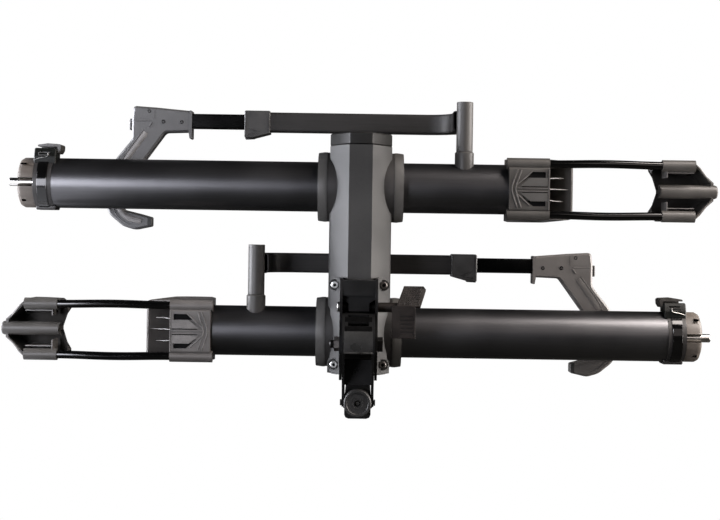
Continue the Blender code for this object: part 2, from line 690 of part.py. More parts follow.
def make_fold_bracket():
    """Outer bracket that turns with the spine: two plates, a top block and a latch cover."""
    back, belly = PIVOT.y - BRACKET_BACK, PIVOT.y - BRACKET_BELLY
    top, foot = PIVOT.z + BRACKET_TOP, PIVOT.z - BRACKET_FOOT
    outline = filleted([(PIVOT.y + 0.050, top, 0), (back, top, 0.006), (back - 0.006, top - 0.041, 0.012),
                        (back - 0.001, PIVOT.z + 0.045, 0.03), (belly, PIVOT.z + 0.015, 0.018),
                        (belly, PIVOT.z - 0.016, 0.018), (PIVOT.y + 0.006, foot, 0.006),
                        (PIVOT.y + 0.021, foot, 0.005), (PIVOT.y + 0.050, foot + 0.024, 0)])
    plates = [prism(outline, *sorted((side * OUTER_FACE, side * OUTER_OUT)), "X") for side in (-1, 1)]
    overlap = 0.0005
    wide, narrow = OUTER_FACE + overlap, PAWL_WIDTH / 2 + 0.001
    high = top - BRACKET_CHIN
    low = high - BRACKET_BLOCK
    block = box((-wide, back, low), (wide, TRAY_Y - BEVEL_FRONT - TOUCH, high))
    hem = SHAFT.z - COVER_DROP
    cover = [(wide, low + 0.001), (wide, low - 0.007), (narrow, low - 0.015), (narrow, hem)]
    cover = prism([(-x, z) for x, z in cover[::-1]] + cover, PIVOT.y - COVER_BACK,
                  PIVOT.y - COVER_BACK + COVER_THICK, "Y")
    spine = prism(spine_outline(TOUCH), 0.0, UPPER_Z, "Z")
    holes = [cylinder(PIVOT_BOLT / 2 + BOLT_FIT, -SPINE_WIDTH, SPINE_WIDTH, "X", PIVOT, 16),
             cylinder(LATCH_SHAFT / 2 + BOLT_FIT, -SPINE_WIDTH, SPINE_WIDTH, "X", SHAFT, 16)]
    body = joined(plates[0], plates[1], block, cover)
    piece("fold_bracket", cut(body, spine, *holes), "gloss_black_enamel", "fold_axis")

    head = OUTER_OUT + TOUCH
    end = -head - PIVOT_HEAD_LENGTH - PIVOT_THREAD
    shank = turned([(end, 0), (end, PIVOT_BOLT / 2 - 0.001), (end + 0.001, PIVOT_BOLT / 2),
                    (head + 0.001, PIVOT_BOLT / 2), (head + 0.001, 0)], "X", PIVOT, 16)
    bolt_head = hexagon(PIVOT_HEAD_FLATS, head, head + PIVOT_HEAD_LENGTH, "X", (PIVOT.y, PIVOT.z))
    piece("pivot_bolt", joined(shank, bolt_head), "black_steel", "fold_axis")
    nut = hexagon(PIVOT_HEAD_FLATS, -head - PIVOT_HEAD_LENGTH, -head, "X", (PIVOT.y, PIVOT.z))
    bore = cylinder(PIVOT_BOLT / 2 + TOUCH, -0.1, 0.1, "X", PIVOT, 16)
    piece("pivot_nut", cut(nut, bore), "bright_steel", "fold_axis")


def make_latch():
    """Headed cross shaft with the pawl on its middle and the foot pedal on its right end."""
    seat = -OUTER_OUT - TOUCH
    end = PEDAL_NEAR + PEDAL_WIDTH / 2
    shaft = turned([(seat - SHAFT_HEAD_LENGTH, 0), (seat - SHAFT_HEAD_LENGTH, SHAFT_HEAD / 2 - 0.001),
                    (seat - SHAFT_HEAD_LENGTH + 0.001, SHAFT_HEAD / 2), (seat, SHAFT_HEAD / 2),
                    (seat, LATCH_SHAFT / 2), (end, LATCH_SHAFT / 2), (end, 0)], "X", SHAFT, 16)
    piece("latch_shaft", shaft, "black_steel", "pedal_axis")
    bore = cylinder(LATCH_SHAFT / 2 + TOUCH, -0.2, 0.2, "X", SHAFT, 16)
    half = PAWL_WIDTH / 2
    hub_half = OUTER_FACE - RUN
    start = math.degrees(math.atan2(LATCH_RISE, -LATCH_AHEAD))
    low, high = SECTOR_RADIUS + 0.0035, SECTOR_RADIUS + 0.0035 + PAWL_DEPTH
    first, last = PAWL_ANGLE - NOTCH_HALF + 0.6, PAWL_ANGLE + NOTCH_HALF - 0.6
    tooth = sector_arc(SECTOR_RADIUS + RUN, last, first, 1)
    finger = sector_arc(high, start, last, 8) + tooth + sector_arc(low, first, start, 8)
    finger = prism(finger, -half, half, "X")
    hub = cylinder(LATCH_HUB / 2, -hub_half, hub_half, "X", SHAFT, 16)
    piece("latch_pawl", cut(joined(hub, finger), bore), "black_steel", "pedal_axis")

    near, far = PEDAL_NEAR, PEDAL_NEAR + PEDAL_WIDTH
    back = SHAFT.y - LATCH_SHAFT / 2 - TOUCH
    front = back - PEDAL_PLATE
    knee = SHAFT.z + 0.004
    lower = prism([(near, knee), (far, knee), (far, SHAFT.z - PEDAL_DROP), (near, SHAFT.z - PEDAL_DROP)],
                  front, back + 0.006, "Y")
    wing = [(near + 0.009, front, knee), (far + PEDAL_SPREAD, front, knee),
            (far + PEDAL_SPREAD + 0.011, front + PEDAL_LEAN, knee + PEDAL_LIFT - 0.006),
            (far + PEDAL_SPREAD + 0.006, front + PEDAL_LEAN, knee + PEDAL_LIFT),
            (near + 0.023, front + PEDAL_LEAN, knee + PEDAL_LIFT)]
    upper = extruded([Vector(corner) for corner in wing], Vector((0, 0.008, -0.004)))
    boss = cylinder(PEDAL_BOSS / 2, OUTER_OUT + RUN, far - 0.006, "X", SHAFT, 16)
    grooves = []
    for index in range(PEDAL_RIBS):
        z = SHAFT.z - PEDAL_DROP + 0.010 + index * 0.0075
        grooves.append(box((near + 0.016, front - 0.01, z), (far - 0.003, front + 0.0015, z + 0.0035)))
    seat = cylinder(LATCH_SHAFT / 2 + TOUCH, 0, far - PEDAL_WIDTH / 2 + TOUCH, "X", SHAFT, 16)
    pedal = cut(joined(lower, upper, boss), seat, *grooves)
    piece("release_pedal", pedal, "brown_black_nylon", "pedal_axis")


def make_tray_tubes():
    """The tray tubes, the collars that hold them in the spine, and their end fittings."""
    tube = ring(TUBE_R - TUBE_WALL, TUBE_R, -TUBE_STRAP_END, TUBE_CRADLE_END, "X")
    place_pair("tray_tube", tube, "black_anodised")
    half = [(COLLAR_INNER, TUBE_R + COLLAR_SLEEVE), (COLLAR_INNER, COLLAR_R), (COLLAR_GROOVE, COLLAR_R),
            (COLLAR_REACH, COLLAR_R - COLLAR_TAPER), (COLLAR_REACH, TUBE_R + TOUCH)]
    profile = [(-along, radius) for along, radius in reversed(half)] + half
    place_pair("tube_collar", turned(profile, "X", ring=True), "black_nylon")


def place_pair(name, mesh, finish, carrier=None, drawn=(0, 0)):
    """The upper tray's piece and its mirrored twin on the lower tray, each drawn outward by its length."""
    for tray, z, out in (("upper", UPPER_Z, -drawn[0]), ("lower", LOWER_Z, drawn[1])):
        shape = mesh if tray == "upper" else mirrored(mesh)
        where = tray + "_" + carrier if carrier else "fold_axis"
        piece(tray + "_" + name, moved(shape, (out, TRAY_Y, z)), finish, where)


def base_outline(grow=0.0):
    """Section (y, z) of a strap base: round behind, with a wheel trough ahead."""
    radius = TUBE_R + TOUCH + BAND_WALL + grow
    half = TROUGH_HALF + grow
    back = TROUGH_BACK + grow
    ahead = [(back - TROUGH_CHAMFER, -half), (back, -half + TROUGH_CHAMFER),
             (back, half - TROUGH_CHAMFER), (back - TROUGH_CHAMFER, half)]
    return arc((0, 0), radius, 90, 270, 18) + ahead


def along_tube(low, high, outer, inner=None):
    """Section (y, z) drawn along the tube."""
    return swept([frame_at((x, 0, 0), (1, 0, 0), (0, 1, 0)) for x in (low, high)], outer, inner)


def strap_loop(clearance=0.0):
    """Strap round its base, or the space that it takes with a clearance."""
    low = -BASE_OUT + STRAP_INSET - clearance
    return along_tube(low, low + STRAP_WIDTH + 2 * clearance, base_outline(TOUCH + STRAP_THICK + clearance),
                      base_outline(TOUCH - clearance))


def make_strap():
    """Rear wheel strap on a base that slides along the tube."""
    low, high = -BASE_OUT, -BASE_OUT + BAND_WIDTH
    band = prism(base_outline(), low, high, "X")
    shelf = box((high - 0.001, TUBE_R * 0.4, -TROUGH_HALF), (low + TROUGH_LENGTH, TROUGH_BACK, TROUGH_HALF))
    tube = cylinder(TUBE_R + TOUCH, low - 0.01, low + TROUGH_LENGTH + 0.01, "X")
    middle = TROUGH_BACK - TROUGH_DEPTH + TROUGH_RADIUS
    trough = cylinder(TROUGH_RADIUS, low - 0.01, low + TROUGH_LENGTH + 0.01, "X", (0, middle, 0), 32)
    under = TUBE_R + BAND_WALL + 3 * TOUCH + STRAP_THICK + LUG_WALL
    lug = box((low + 0.0005, -LUG_HALF, -under), (low + LUG_LENGTH, LUG_HALF, -TUBE_R * 0.9))
    lug = softened(lug, 0.002)
    place_pair("strap_base", cut(joined(band, shelf, lug), tube, trough, strap_loop(TOUCH)),
               "black_nylon", "strap_line")
    place_pair("strap", strap_loop(), "gloss_strap", "strap_line")
    make_buckle()


def make_tray_ends():
    """End caps of the tubes at the strap side, each with its lock cable's ferrule."""
    start, end = -TUBE_STRAP_END - TOUCH, -TUBE_STRAP_END - CAP_LENGTH
    plug = TUBE_R - TUBE_WALL - TOUCH
    shell = turned([(end, 0), (end + 0.0008, TUBE_R - CAP_CORNER), (end + 0.0035, TUBE_R - 0.0035),
                    (end + CAP_CORNER, TUBE_R), (start, TUBE_R), (start, plug), (start + CAP_SKIRT, plug),
                    (start + CAP_SKIRT, plug - CAP_WALL), (end + CAP_CORNER, plug - CAP_WALL),
                    (end + CAP_WALL, TUBE_R - CAP_CORNER - CAP_WALL), (end + CAP_WALL, 0)], "X")
    slots = [box((end + CAP_SLOT_LENGTH, -TUBE, side * CAP_SLOT_RISE - CAP_SLOT / 2),
                 (end + 2 * CAP_SLOT_LENGTH, TUBE, side * CAP_SLOT_RISE + CAP_SLOT / 2)) for side in (-1, 1)]
    half = FERRULE / 2 + TOUCH
    wall = 0.003
    floor = -FERRULE_BEHIND + half
    groove = box((end - 0.01, -TUBE, -half), (start + CAP_SKIRT + 0.01, floor, half))
    bed = box((end + CAP_WALL / 2, floor, -half - wall), (start, floor + wall, half + wall))
    walls = [box((end + CAP_WALL / 2, -FERRULE_BEHIND - FERRULE / 2, low),
                 (start, floor + wall, low + wall)) for low in (-half - wall, half)]
    place_pair("tray_end_cap", joined(cut(shell, groove, *slots), bed, *walls), "black_nylon")
    out, into = start - FERRULE_LENGTH, start - TOUCH
    section = [(out, FERRULE_BORE / 2), (out, FERRULE / 2 - 0.001), (out + 0.001, FERRULE / 2),
               (into, FERRULE / 2), (into, FERRULE_BORE / 2)]
    ferrule = turned(section, "X", (0, -FERRULE_BEHIND, 0), 16, ring=True)
    place_pair("lock_ferrule", ferrule, "bright_steel")


def make_buckle():
    """Ratchet buckle over the strap, and its thumb lever."""
    low = -BASE_OUT + BUCKLE_INSET
    high = low + BUCKLE_WIDTH
    top = BUCKLE_TOP
    side_view = filleted([(-BUCKLE_BEHIND, 0.030, 0), (BUCKLE_AHEAD, 0.030, 0), (BUCKLE_AHEAD, 0.062, 0.004),
                          (-0.004, top - 0.0045, 0.006), (-0.026, top, 0.006), (-BUCKLE_BEHIND, 0.052, 0.008)])
    body = softened(prism(side_view, low, high, "X"), 0.0015)
    band = along_tube(-BASE_OUT - 0.01, -BASE_OUT + BAND_WIDTH + TOUCH, base_outline(TOUCH))
    tube = cylinder(TUBE_R + 2 * TOUCH, -BASE_OUT, high + 0.01, "X")
    slot = box((low + 0.012, -0.05, 0.0595), (high - 0.010, -0.022, 0.0625))
    place_pair("strap_buckle", cut(body, band, tube, strap_loop(TOUCH), slot), "grey_nylon", "strap_line")

    left = -BASE_OUT + LEVER_INSET
    right = left + LEVER_LENGTH
    claw = high + RUN
    floor = top + LEVER_CLEAR
    tip = filleted([(left, floor, 0.001), (left, floor + 0.0035, 0.002), (left + 0.020, floor + 0.0065, 0.006),
                    (right, floor + 0.0050, 0.004), (right - 0.001, floor - 0.0065, 0.004),
                    (claw + 0.002, floor - 0.0130, 0.002), (claw, floor - 0.0130, 0), (claw, floor, 0)])
    front, back = -0.020, LEVER_PIN_AHEAD + 0.0055
    lever = prism(tip, front, back, "Y")
    near = BUCKLE_AHEAD + RUN
    heel = prism([(near, LEVER_PIN_RISE), (near + 0.002, floor - 0.0130), (back, floor - 0.0130),
                  (back, floor + 0.003), (near, floor + 0.003)], left + 0.001, claw + 0.002, "X")
    place_pair("buckle_lever", joined(lever, heel), "grey_nylon", "buckle_pin")


def make_arm():
    """Post saddle, turning sleeve, bent outer tube, telescoping tube and the hook on its end."""
    top = SADDLE_TOP
    around_tube = cylinder(TUBE_R + TOUCH, POST_X - 0.05, POST_X + 0.05, "X")
    at = (POST_X, -POST_BEHIND, 0)
    pin = SLEEVE / 2 - SLEEVE_WALL - RUN
    post = turned([(0.020, 0), (0.020, SADDLE / 2), (top - 0.003, SADDLE / 2), (top, SADDLE / 2 - 0.003),
                   (top, pin), (SLEEVE_TOP - POST_SHORT, pin), (SLEEVE_TOP - POST_SHORT, 0)], "Z", at, 24)
    place_pair("arm_post", cut(post, around_tube), "satin_steel")
    sleeve = turned([(top + TOUCH, pin + RUN), (top + TOUCH, SLEEVE / 2), (SLEEVE_TOP - 0.001, SLEEVE / 2),
                     (SLEEVE_TOP, SLEEVE / 2 - 0.001), (SLEEVE_TOP, pin + RUN)], "Z", at, 24, ring=True)
    place_pair("arm_sleeve", sleeve, "satin_steel", "arm_pivot")

    turn_y = ARM_AHEAD - ARM_BEND
    side = POST_X - ARM_OFFSET
    corner = (side - ARM_BEND, turn_y)
    frames = [frame_at((side, -POST_BEHIND, ARM_RISE), (0, 1, 0), (1, 0, 0)),
              frame_at((side, turn_y, ARM_RISE), (0, 1, 0), (1, 0, 0))]
    for step in range(1, 7):
        turn = math.radians(90 * step / 6)
        out = Vector((math.cos(turn), math.sin(turn), 0))
        along = Vector((-math.sin(turn), math.cos(turn), 0))
        frames.append(frame_at(Vector((*corner, ARM_RISE)) + ARM_BEND * out, along, out))
    frames.append(frame_at((POST_X - ARM_END, ARM_AHEAD, ARM_RISE), (-1, 0, 0), (0, 1, 0)))
    inside = ARM_SIDE - 2 * ARM_WALL
    tube = swept(frames, rounded_box_outline(ARM_SIDE, ARM_SIDE, ARM_CORNER),
                 rounded_box_outline(inside, inside, ARM_CORNER - ARM_WALL))
    around_sleeve = cylinder(SLEEVE / 2 + TOUCH, ARM_RISE - ARM_SIDE, ARM_RISE + ARM_SIDE, "Z", at, 24)
    behind = box((POST_X - 0.03, -0.06, ARM_RISE - 0.03),
                 (POST_X + 0.03, -POST_BEHIND + 0.001, ARM_RISE + 0.03))
    place_pair("arm_tube", cut(tube, around_sleeve, behind), "black_anodised", "arm_pivot")
    make_arm_collar()

    slide = [frame_at((POST_X - u, ARM_AHEAD, ARM_RISE), (-1, 0, 0), (0, 1, 0))
             for u in (ARM_END - INNER_OVERLAP, ARM_REACH)]
    inside = INNER_SIDE - 2 * INNER_WALL
    inner = swept(slide, rounded_box_outline(INNER_SIDE, INNER_SIDE, INNER_CORNER),
                  rounded_box_outline(inside, inside, INNER_CORNER - INNER_WALL))
    place_pair("arm_inner_tube", inner, "gloss_black_enamel", "arm_slide", (UPPER_DRAWN, LOWER_DRAWN))


def arm_box(u, y, v):
    """Block in the arm's own directions: away from the post, ahead of the arm axis, above it."""
    return box((POST_X - u[1], ARM_AHEAD + y[0], ARM_RISE + v[0]),
               (POST_X - u[0], ARM_AHEAD + y[1], ARM_RISE + v[1]))


def arm_prism(outline, y):
    """Outline (u, v) drawn across the arm."""
    return prism([(POST_X - u, ARM_RISE + v) for u, v in outline], ARM_AHEAD + y[0], ARM_AHEAD + y[1], "Y")


def make_arm_collar():
    """Moulding on the outer tube's end, with the telescope's latch lever under it."""
    half = ARM_SIDE / 2 + ARM_COLLAR_WALL
    shell = arm_prism(filleted([(ARM_COLLAR_START, -half - 0.001, 0.001), (ARM_COLLAR_START, half, 0.002),
                                (ARM_COLLAR_END, half, 0.003), (ARM_COLLAR_END, -half - COLLAR_LUG, 0.003),
                                (ARM_COLLAR_END - 0.016, -half - COLLAR_LUG, 0.003)]), (-half, half))
    shell = softened(shell, 0.002, 1, 60)
    hole = arm_box((ARM_COLLAR_START - 0.1, ARM_END + TOUCH), (-ARM_SIDE / 2 - TOUCH, ARM_SIDE / 2 + TOUCH),
                   (-ARM_SIDE / 2 - TOUCH, ARM_SIDE / 2 + TOUCH))
    mouth = arm_box((ARM_COLLAR_START, ARM_COLLAR_END + 0.1), (-INNER_SIDE / 2 - RUN, INNER_SIDE / 2 + RUN),
                    (-INNER_SIDE / 2 - RUN, INNER_SIDE / 2 + RUN))
    lever_half = LATCH_LEVER_WIDTH / 2 + RUN
    pocket = arm_box((ARM_COLLAR_END - LATCH_LEVER - RUN, ARM_COLLAR_END + 0.1), (-lever_half, lever_half),
                     (-half - COLLAR_LUG - 0.01, -half - COLLAR_LUG + LATCH_LEVER_THICK))
    place_pair("arm_collar", cut(shell, hole, mouth, pocket), "grey_nylon", "arm_pivot")
    start, end = ARM_COLLAR_END - LATCH_LEVER, ARM_COLLAR_END - 0.001
    low = -half - COLLAR_LUG
    high = low + LATCH_LEVER_THICK - RUN
    side_view = filleted([(start, low + 0.0020, 0), (start, high, 0.001), (end, high, 0.001),
                          (end, low - 0.002, 0.001), (start + 0.0025, low - 0.001, 0)])
    lever = arm_prism(side_view, (-LATCH_LEVER_WIDTH / 2, LATCH_LEVER_WIDTH / 2))
    place_pair("arm_latch", lever, "black_nylon", "arm_latch_pin")


def hook_outline():
    """Hook from the side (u away from the post, v above the arm axis)."""
    back = HOOK_START + HOOK_HEAD
    return filleted([(HOOK_START, -0.0225, 0), (HOOK_START, 0.0202, 0), (back - 0.0500, 0.0265, 0.01),
                     (back - 0.0030, 0.0293, 0.006), (back, 0.0050, 0.002), (back, -0.0400, 0.02),
                     (back + 0.0320, -0.0800, 0.03), (back + 0.0580, -0.1200, 0.04),
                     (back + 0.0620, -0.1560, 0.03), (back + 0.0430, -0.1960, 0.03),
                     (back + 0.0150, -0.2190, 0.03), (back - 0.0090, -0.2260, 0.02),
                     (back - 0.0430, -0.2185, 0.003), (back - 0.0430, -0.1995, 0.003),
                     (back - 0.0190, -0.1930, 0.015), (back + 0.0150, -0.1850, 0.006),
                     (back + 0.0260, -0.1640, 0.02), (back + 0.0210, -0.1400, 0.02),
                     (back - 0.0240, -0.0860, 0.02), (back - 0.0685, -0.0245, 0.010)])


def make_hook():
    """Moulded wheel hook on the telescoping tube, and its release button."""
    half = HOOK_THICK / 2
    blank = softened(arm_prism(hook_outline(), (-half, half)), HOOK_EDGE, 1, 60)
    flange = arm_prism(filleted([(HOOK_START - 0.0005, -0.0365, 0.002), (HOOK_START - 0.0005, 0.0212, 0.002),
                                 (HOOK_START + 0.0045, 0.0212, 0.001), (HOOK_START + 0.0060, -0.0240, 0.001),
                                 (HOOK_START + 0.0040, -0.0365, 0.001)]), (-half - 0.001, half + 0.001))
    side = INNER_SIDE / 2 + TOUCH
    socket = arm_box((HOOK_START - 0.1, HOOK_START + HOOK_SOCKET), (-side, side), (-side, side))
    width = BUTTON_WIDTH / 2 + RUN
    pocket = arm_box((BUTTON_FACE - BUTTON_DEEP - BUTTON_TRAVEL - RUN, BUTTON_FACE + 0.1), (-width, width),
                     (-0.0196 - RUN, 0.0032 + RUN))
    drawn = (UPPER_DRAWN, LOWER_DRAWN)
    place_pair("hook", cut(joined(blank, flange), socket, pocket), "grey_nylon", "arm_slide", drawn)
    button = softened(arm_box((BUTTON_FACE - BUTTON_DEEP, BUTTON_FACE), (-BUTTON_WIDTH / 2, BUTTON_WIDTH / 2),
                              (-0.0196, 0.0032)), 0.0015)
    place_pair("hook_button", button, "black_nylon", "hook_button_line", drawn)


def make_cradles():
    """Rods and the two mouldings that hold a front wheel, with the wheel well between them."""
    low, high = INNER_START + 0.008, OUTER_BOSS_END - 0.008
    for side, name in ((-1, "low"), (1, "high")):
        frames = []
        for step in range(9):
            x = low + (high - low) * step / 8
            share = min(max((x - INNER_PLATE_END) / (OUTER_BOSS_START - INNER_PLATE_END), 0), 1)
            z = side * (ROD_HALF + ROD_BOW * math.sin(math.pi * share) ** 2)
            frames.append(frame_at((x, -ROD_BEHIND, z), (1, 0, 0), (0, 1, 0)))
        place_pair("cradle_rod_" + name, swept(frames, arc((0, 0), ROD / 2, 0, 330, 11)), "gloss_black_enamel")
    make_inner_cradle()
    make_outer_cradle()


def rod_bores(low, high):
    return [cylinder(ROD / 2 + TOUCH, low, high, "X", (0, -ROD_BEHIND, z), 12) for z in (-ROD_HALF, ROD_HALF)]


def bosses(low, high):
    return [cylinder(BOSS / 2, low, high, "X", (0, -ROD_BEHIND, z), 16) for z in (-ROD_HALF, ROD_HALF)]


def make_inner_cradle():
    """Moulding over the tube's end: rod bosses, ribbed rear face and a ramp down to the wheel well."""
    start, end = INNER_START, INNER_PLATE_END
    sleeve = cylinder(TUBE_R + TOUCH + INNER_SKIN, start + 0.008, end, "X")
    face = filleted([(-CRADLE_FRONT, -ROD_HALF + 0.008, 0.006), (-CRADLE_FRONT, ROD_HALF - 0.008, 0.006),
                     (-0.015, ROD_HALF + 0.004, 0), (-0.015, -ROD_HALF - 0.004, 0)])
    face = prism(face, start + 0.004, end, "X")
    drop = WELL_START - end
    side_view = [(start + 0.004, 0.036), (start + 0.004, RAMP_TOP - 0.012), (end - 0.060, RAMP_TOP - 0.002),
                 (end - 0.034, RAMP_TOP), (end - 0.018, RAMP_TOP - 0.003), (end + drop * 0.30, 0.034),
                 (end + drop * 0.66, 0.014), (WELL_START, -0.006), (WELL_START - 0.004, -0.012),
                 (end + drop * 0.50, 0.010), (end - 0.004, 0.030)]
    plan = [(start, -SADDLE_HALF + 0.003), (start + 0.012, -SADDLE_HALF), (end, -SADDLE_HALF),
            (WELL_START - 0.008, -CRADLE_HALF), (WELL_START + 0.01, -CRADLE_HALF + 0.006)]
    plan += [(x, -z) for x, z in reversed(plan)]
    wide = SADDLE_HALF + 0.01
    ramp = common(prism(side_view, -wide, wide, "Z"), prism(plan, -0.08, 0.08, "Y"))
    cheeks = []
    for side in (-1, 1):
        cheek = prism([(end - 0.012, -ROD_BEHIND + 0.004), (end - 0.012, 0.045), (end + drop * 0.30, 0.030),
                       (WELL_START - 0.012, -0.004), (WELL_START - 0.012, -0.020),
                       (end + 0.004, -0.030), (end, -ROD_BEHIND + 0.004)],
                      *sorted((side * (CRADLE_HALF - RAMP), side * CRADLE_HALF)), "Z")
        cheeks.append(cheek)
    body = joined(sleeve, face, ramp, *cheeks, *bosses(start, end))
    mouth, stop, shut = start - 0.01, TUBE_CRADLE_END + TOUCH, end - INNER_SHUT
    cavity = TUBE_R - TUBE_WALL - 0.002
    bore = turned([(mouth, 0), (mouth, TUBE_R + TOUCH), (stop, TUBE_R + TOUCH), (stop, cavity),
                   (shut, cavity), (shut, 0)], "X")
    pockets = []
    for side in (-1, 1):
        pocket = filleted([(end - 0.008, side * 0.009, 0.002), (end - 0.008, side * 0.034, 0.002),
                           (end - 0.034, side * 0.034, 0.003), (end - 0.054, side * 0.018, 0.003),
                           (end - 0.050, side * 0.009, 0.002)])
        pockets.append(prism(pocket, -CRADLE_FRONT - 0.01, -CRADLE_FRONT + 0.0042, "Y"))
    place_pair("cradle_inner", cut(body, bore, *pockets, *rod_bores(start + 0.008 - TOUCH, end + 0.1)),
               "black_nylon")


def outer_plan(inset=0.0):
    """Outer cradle from the front: rod bosses, then a nose that narrows to the tip."""
    half = [(WELL_END + inset, 0.047 - inset), (OUTER_BOSS_START, CRADLE_HALF - inset),
            (OUTER_BOSS_END - inset / 2, CRADLE_HALF - inset),
            (OUTER_BOSS_END + 0.013 - inset, 0.047 - inset / 2),
            (TIP - 0.0225 - inset, NOSE_HALF), (TIP - 0.009 - inset, NOSE_HALF * 0.6 - inset / 3)]
    return [(x, -z) for x, z in half] + half[::-1]


def make_outer_cradle():
    """Moulding at the rods' far ends: a ramp shell with rim walls and a round keel to the tip."""
    surface = [(WELL_END - 0.002, -0.006), (WELL_END + 0.024, 0.018), (WELL_END + 0.056, 0.040),
               (OUTER_BOSS_END + 0.008, 0.052), (TIP + 0.014, RAMP_TOP)]
    shell = prism(surface + [(TIP + 0.014, -0.034), (OUTER_BOSS_START, -0.034), (WELL_END - 0.002, -0.012)],
                  -0.07, 0.07, "Z")
    body = common(prism(outer_plan(), -0.036, RAMP_TOP + 0.004, "Y"), shell)
    under = [(x, y - RAMP * 1.3) for x, y in surface]
    under += [(TIP + 0.014, -0.05), (WELL_END - 0.03, -0.05), (WELL_END - 0.03, -0.020)]
    hollow = prism(under, -0.07, 0.07, "Z")
    pocket = common(prism(outer_plan(RAMP), -0.05, RAMP_TOP, "Y"), hollow)
    radius = KEEL / 2
    behind = -0.026
    keel = turned([(WELL_END + 0.010, 0), (WELL_END + 0.010, radius), (TIP - 0.005, radius),
                   (TIP - 0.0015, radius * 0.88), (TIP, radius * 0.62), (TIP, 0)], "X", (0, behind, 0), 20)
    web = common(box((WELL_END + 0.010, behind, -0.004), (TIP - 0.012, RAMP_TOP, 0.004)), shell)
    pods = bosses(OUTER_BOSS_START, OUTER_BOSS_END)
    shaped = joined(cut(body, pocket), cut(keel, above_ramp()), web, *pods)
    half = [(WELL_END - 0.02, 0.041), (WELL_END, 0.041), (WELL_END + 0.010, 0.028),
            (WELL_END + WELL_NOTCH, 0.003)]
    notch = prism([(x, -z) for x, z in half] + half[::-1], -0.08, 0.08, "Y")
    bores = rod_bores(WELL_END - 0.07, OUTER_BOSS_END - 0.008 + TOUCH)
    place_pair("cradle_outer", cut(shaped, notch, *bores), "black_nylon")


def above_ramp():
    """Space over the outer ramp, which the keel stays under."""
    return prism([(WELL_END - 0.03, -0.006), (WELL_END - 0.002, -0.006), (WELL_END + 0.024, 0.018),
                  (WELL_END + 0.024, 0.06), (WELL_END - 0.03, 0.06)], -0.07, 0.07, "Z")


def make_anchors():
    anchor("hitch", (0, 0, 0))
    anchor("cam_axis", (0, -TONGUE_REACH, CAM_RISE), "hitch")
    anchor("shoe_line", (0, -CAM_ROD_END - SHOE_LENGTH / 2, TONGUE_SIDE / 2), "hitch")
    anchor("fold_axis", PIVOT, "hitch")
    anchor("pedal_axis", SHAFT, "fold_axis")
    for tray, side, z, drawn in (("upper", 1, UPPER_Z, UPPER_DRAWN), ("lower", -1, LOWER_Z, LOWER_DRAWN)):
        post = Vector((side * POST_X, TRAY_Y - POST_BEHIND, z + ARM_RISE))
        along = Vector((-side, 0, 0))
        line = post + Vector((0, POST_BEHIND + ARM_AHEAD, 0))
        anchor(tray + "_arm_pivot", post, "fold_axis")
        anchor(tray + "_arm_slide", line + (ARM_END + drawn) * along, tray + "_arm_pivot")
        button = line + (BUTTON_FACE + drawn) * along - Vector((0, 0, 0.008))
        anchor(tray + "_hook_button_line", button, tray + "_arm_slide")
        lug = Vector((0, 0, -ARM_SIDE / 2 - ARM_COLLAR_WALL - COLLAR_LUG))
        pin = line + (ARM_COLLAR_END - LATCH_LEVER + LATCH_PIN_INSET) * along + lug
        pin.z += LATCH_LEVER_THICK - RUN - LATCH_PIN_INSET
        anchor(tray + "_arm_latch_pin", pin, tray + "_arm_pivot")
        anchor(tray + "_strap_line", (-side * BASE_OUT, TRAY_Y, z), "fold_axis")
        anchor(tray + "_buckle_pin", (-side * (BASE_OUT - LEVER_INSET), TRAY_Y + LEVER_PIN_AHEAD,
                                      z + LEVER_PIN_RISE), tray + "_strap_line")


for leftover in list(bpy.data.objects):
    bpy.data.objects.remove(leftover)
make_anchors()
make_tongue()
make_knob()
make_tongue_bracket()
make_spine()
make_hinge_plates()
make_fold_bracket()
make_latch()
make_tray_tubes()
make_tray_ends()
make_strap()
make_arm()
make_hook()
make_cradles()
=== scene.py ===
"""Studio picture of a folded hitch bike rack: two wheel trays on a bevelled spine.

Each section dresses one piece of the rack, or one group of like pieces, in the order in which they are
put together. Lengths are in metres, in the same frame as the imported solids, unless a name says mm.
"""
import json
import math

import bmesh
import bpy
from mathutils import Matrix, Vector

